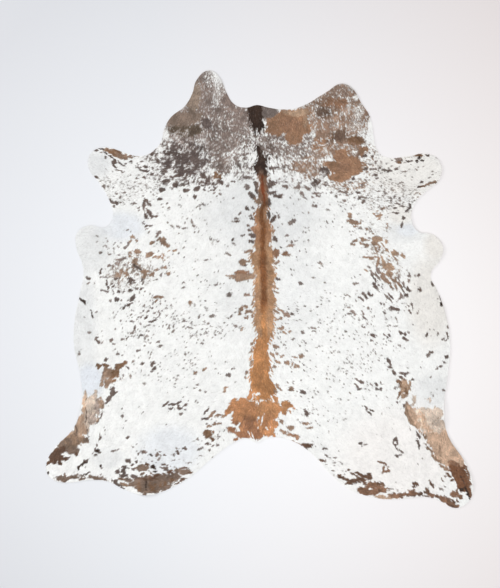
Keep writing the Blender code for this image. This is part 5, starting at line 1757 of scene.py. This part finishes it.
def hair_material():
    """Short, sleek hair."""
    material, shader, start = new_material("short_hair", specular=0.15)
    strands = start.make(
        "ShaderNodeTexNoise",
        {"noise_dimensions": "1D"},
        {"W": attribute(start, "strand") * STRANDS_ACROSS, "Scale": 1.0, "Detail": 1.0},
    )
    shade = ROOT_SHADE + STRAND_SHADE * strands + TIP_SHADE * attribute(start, "tip")
    feed(shader, "Base Color", attribute(start, "coat_colour", "Color").scaled(shade))
    feed(shader, "Roughness", HAIR_ROUGHNESS + ROUGHNESS_VARIETY * strands)
    feed_bump(shader, strands, strength=0.35, distance=0.0004)
    return material


hair = hair_material()
for coat in coats:
    coat.data.materials.append(hair)
print("hair on", len(coats), "bands")

# %% [markdown]
# ## The leather material
#
# From above only slivers of skin show between the locks, in the colour of the hair that grows
# there but duller. Below, the flesh side is pale suede with a soft nap. One value on the points
# tells the two sides apart, and the trimmed edge lies between them.

# %% Leather material
SUEDE_SEEN = (206, 190, 170)
SUEDE_DARK_SEEN = (184, 164, 142)
SKIN_DULLNESS = 0.9            # skin under coloured hair is darker than the hair
SKIN_SHADE = 0.9               # the darkest grain of the skin, and how much lighter it gets
SKIN_GRAIN = 0.2
SUEDE_GRAIN = 0.5              # what the fine grain and the blotches do to the suede's tone
SUEDE_BLOTCHES = 0.7
SUEDE_DARKENING = 0.1
LEATHER_ROUGHNESS = 0.68


def leather_material():
    """Skin between the hairs on top, suede below."""
    material, shader, place = new_material("tanned_skin", specular=0.25)
    grain = place.make("ShaderNodeTexNoise", {}, {"Vector": place, "Scale": 220.0, "Detail": 4.0})
    blotches = place.make("ShaderNodeTexNoise", {}, {"Vector": place, "Scale": 9.0, "Detail": 3.0})
    lightness = (grain * SUEDE_GRAIN + blotches * SUEDE_BLOTCHES - SUEDE_DARKENING).clamped()
    suede = lightness.between(shader_colour(SUEDE_DARK_SEEN), shader_colour(SUEDE_SEEN))
    skin = attribute(place, "skin_colour", "Color").scaled(SKIN_SHADE + SKIN_GRAIN * grain)
    feed(shader, "Base Color", attribute(place, "flesh_side").between(skin, suede))
    feed(shader, "Roughness", LEATHER_ROUGHNESS + ROUGHNESS_VARIETY * grain)
    feed_bump(shader, grain, strength=0.4, distance=0.0006)
    return material


def colour_skin():
    """Store the skin's colour, and which side each point of the leather is on."""
    x, y, z = points_of(leather.data).T
    flesh_side = np.clip(1 - (z - lift(x, y)) / LEATHER_THICKNESS, 0, 1)
    share = np.clip(read_canvas(pigment, x, y), 0, 1)[:, None]
    seen = read_canvas(ground, x, y) * (1 - share) + read_canvas(tone, x, y) * SKIN_DULLNESS * share
    colour = np.ones((len(seen), 4))
    colour[:, :3] = to_light(seen)
    store(leather.data, "skin_colour", "FLOAT_COLOR", "color", colour)
    store(leather.data, "flesh_side", "FLOAT", "value", flesh_side)


colour_skin()
leather.data.materials.clear()  # the trimming left an empty slot
leather.data.materials.append(leather_material())
print("leather points", len(leather.data.vertices))

# %% [markdown]
# ## Handing the pieces to the frame
#
# All pieces ride on the one body. The leather stands for the imported hide and is a sheet that lies on the
# floor, and the bands of hair go with it.

# %% Ride and replace
for piece in [leather] + coats:
    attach(piece, "root")
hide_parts("hide")
print("pieces", [piece.name for piece in [leather] + coats])
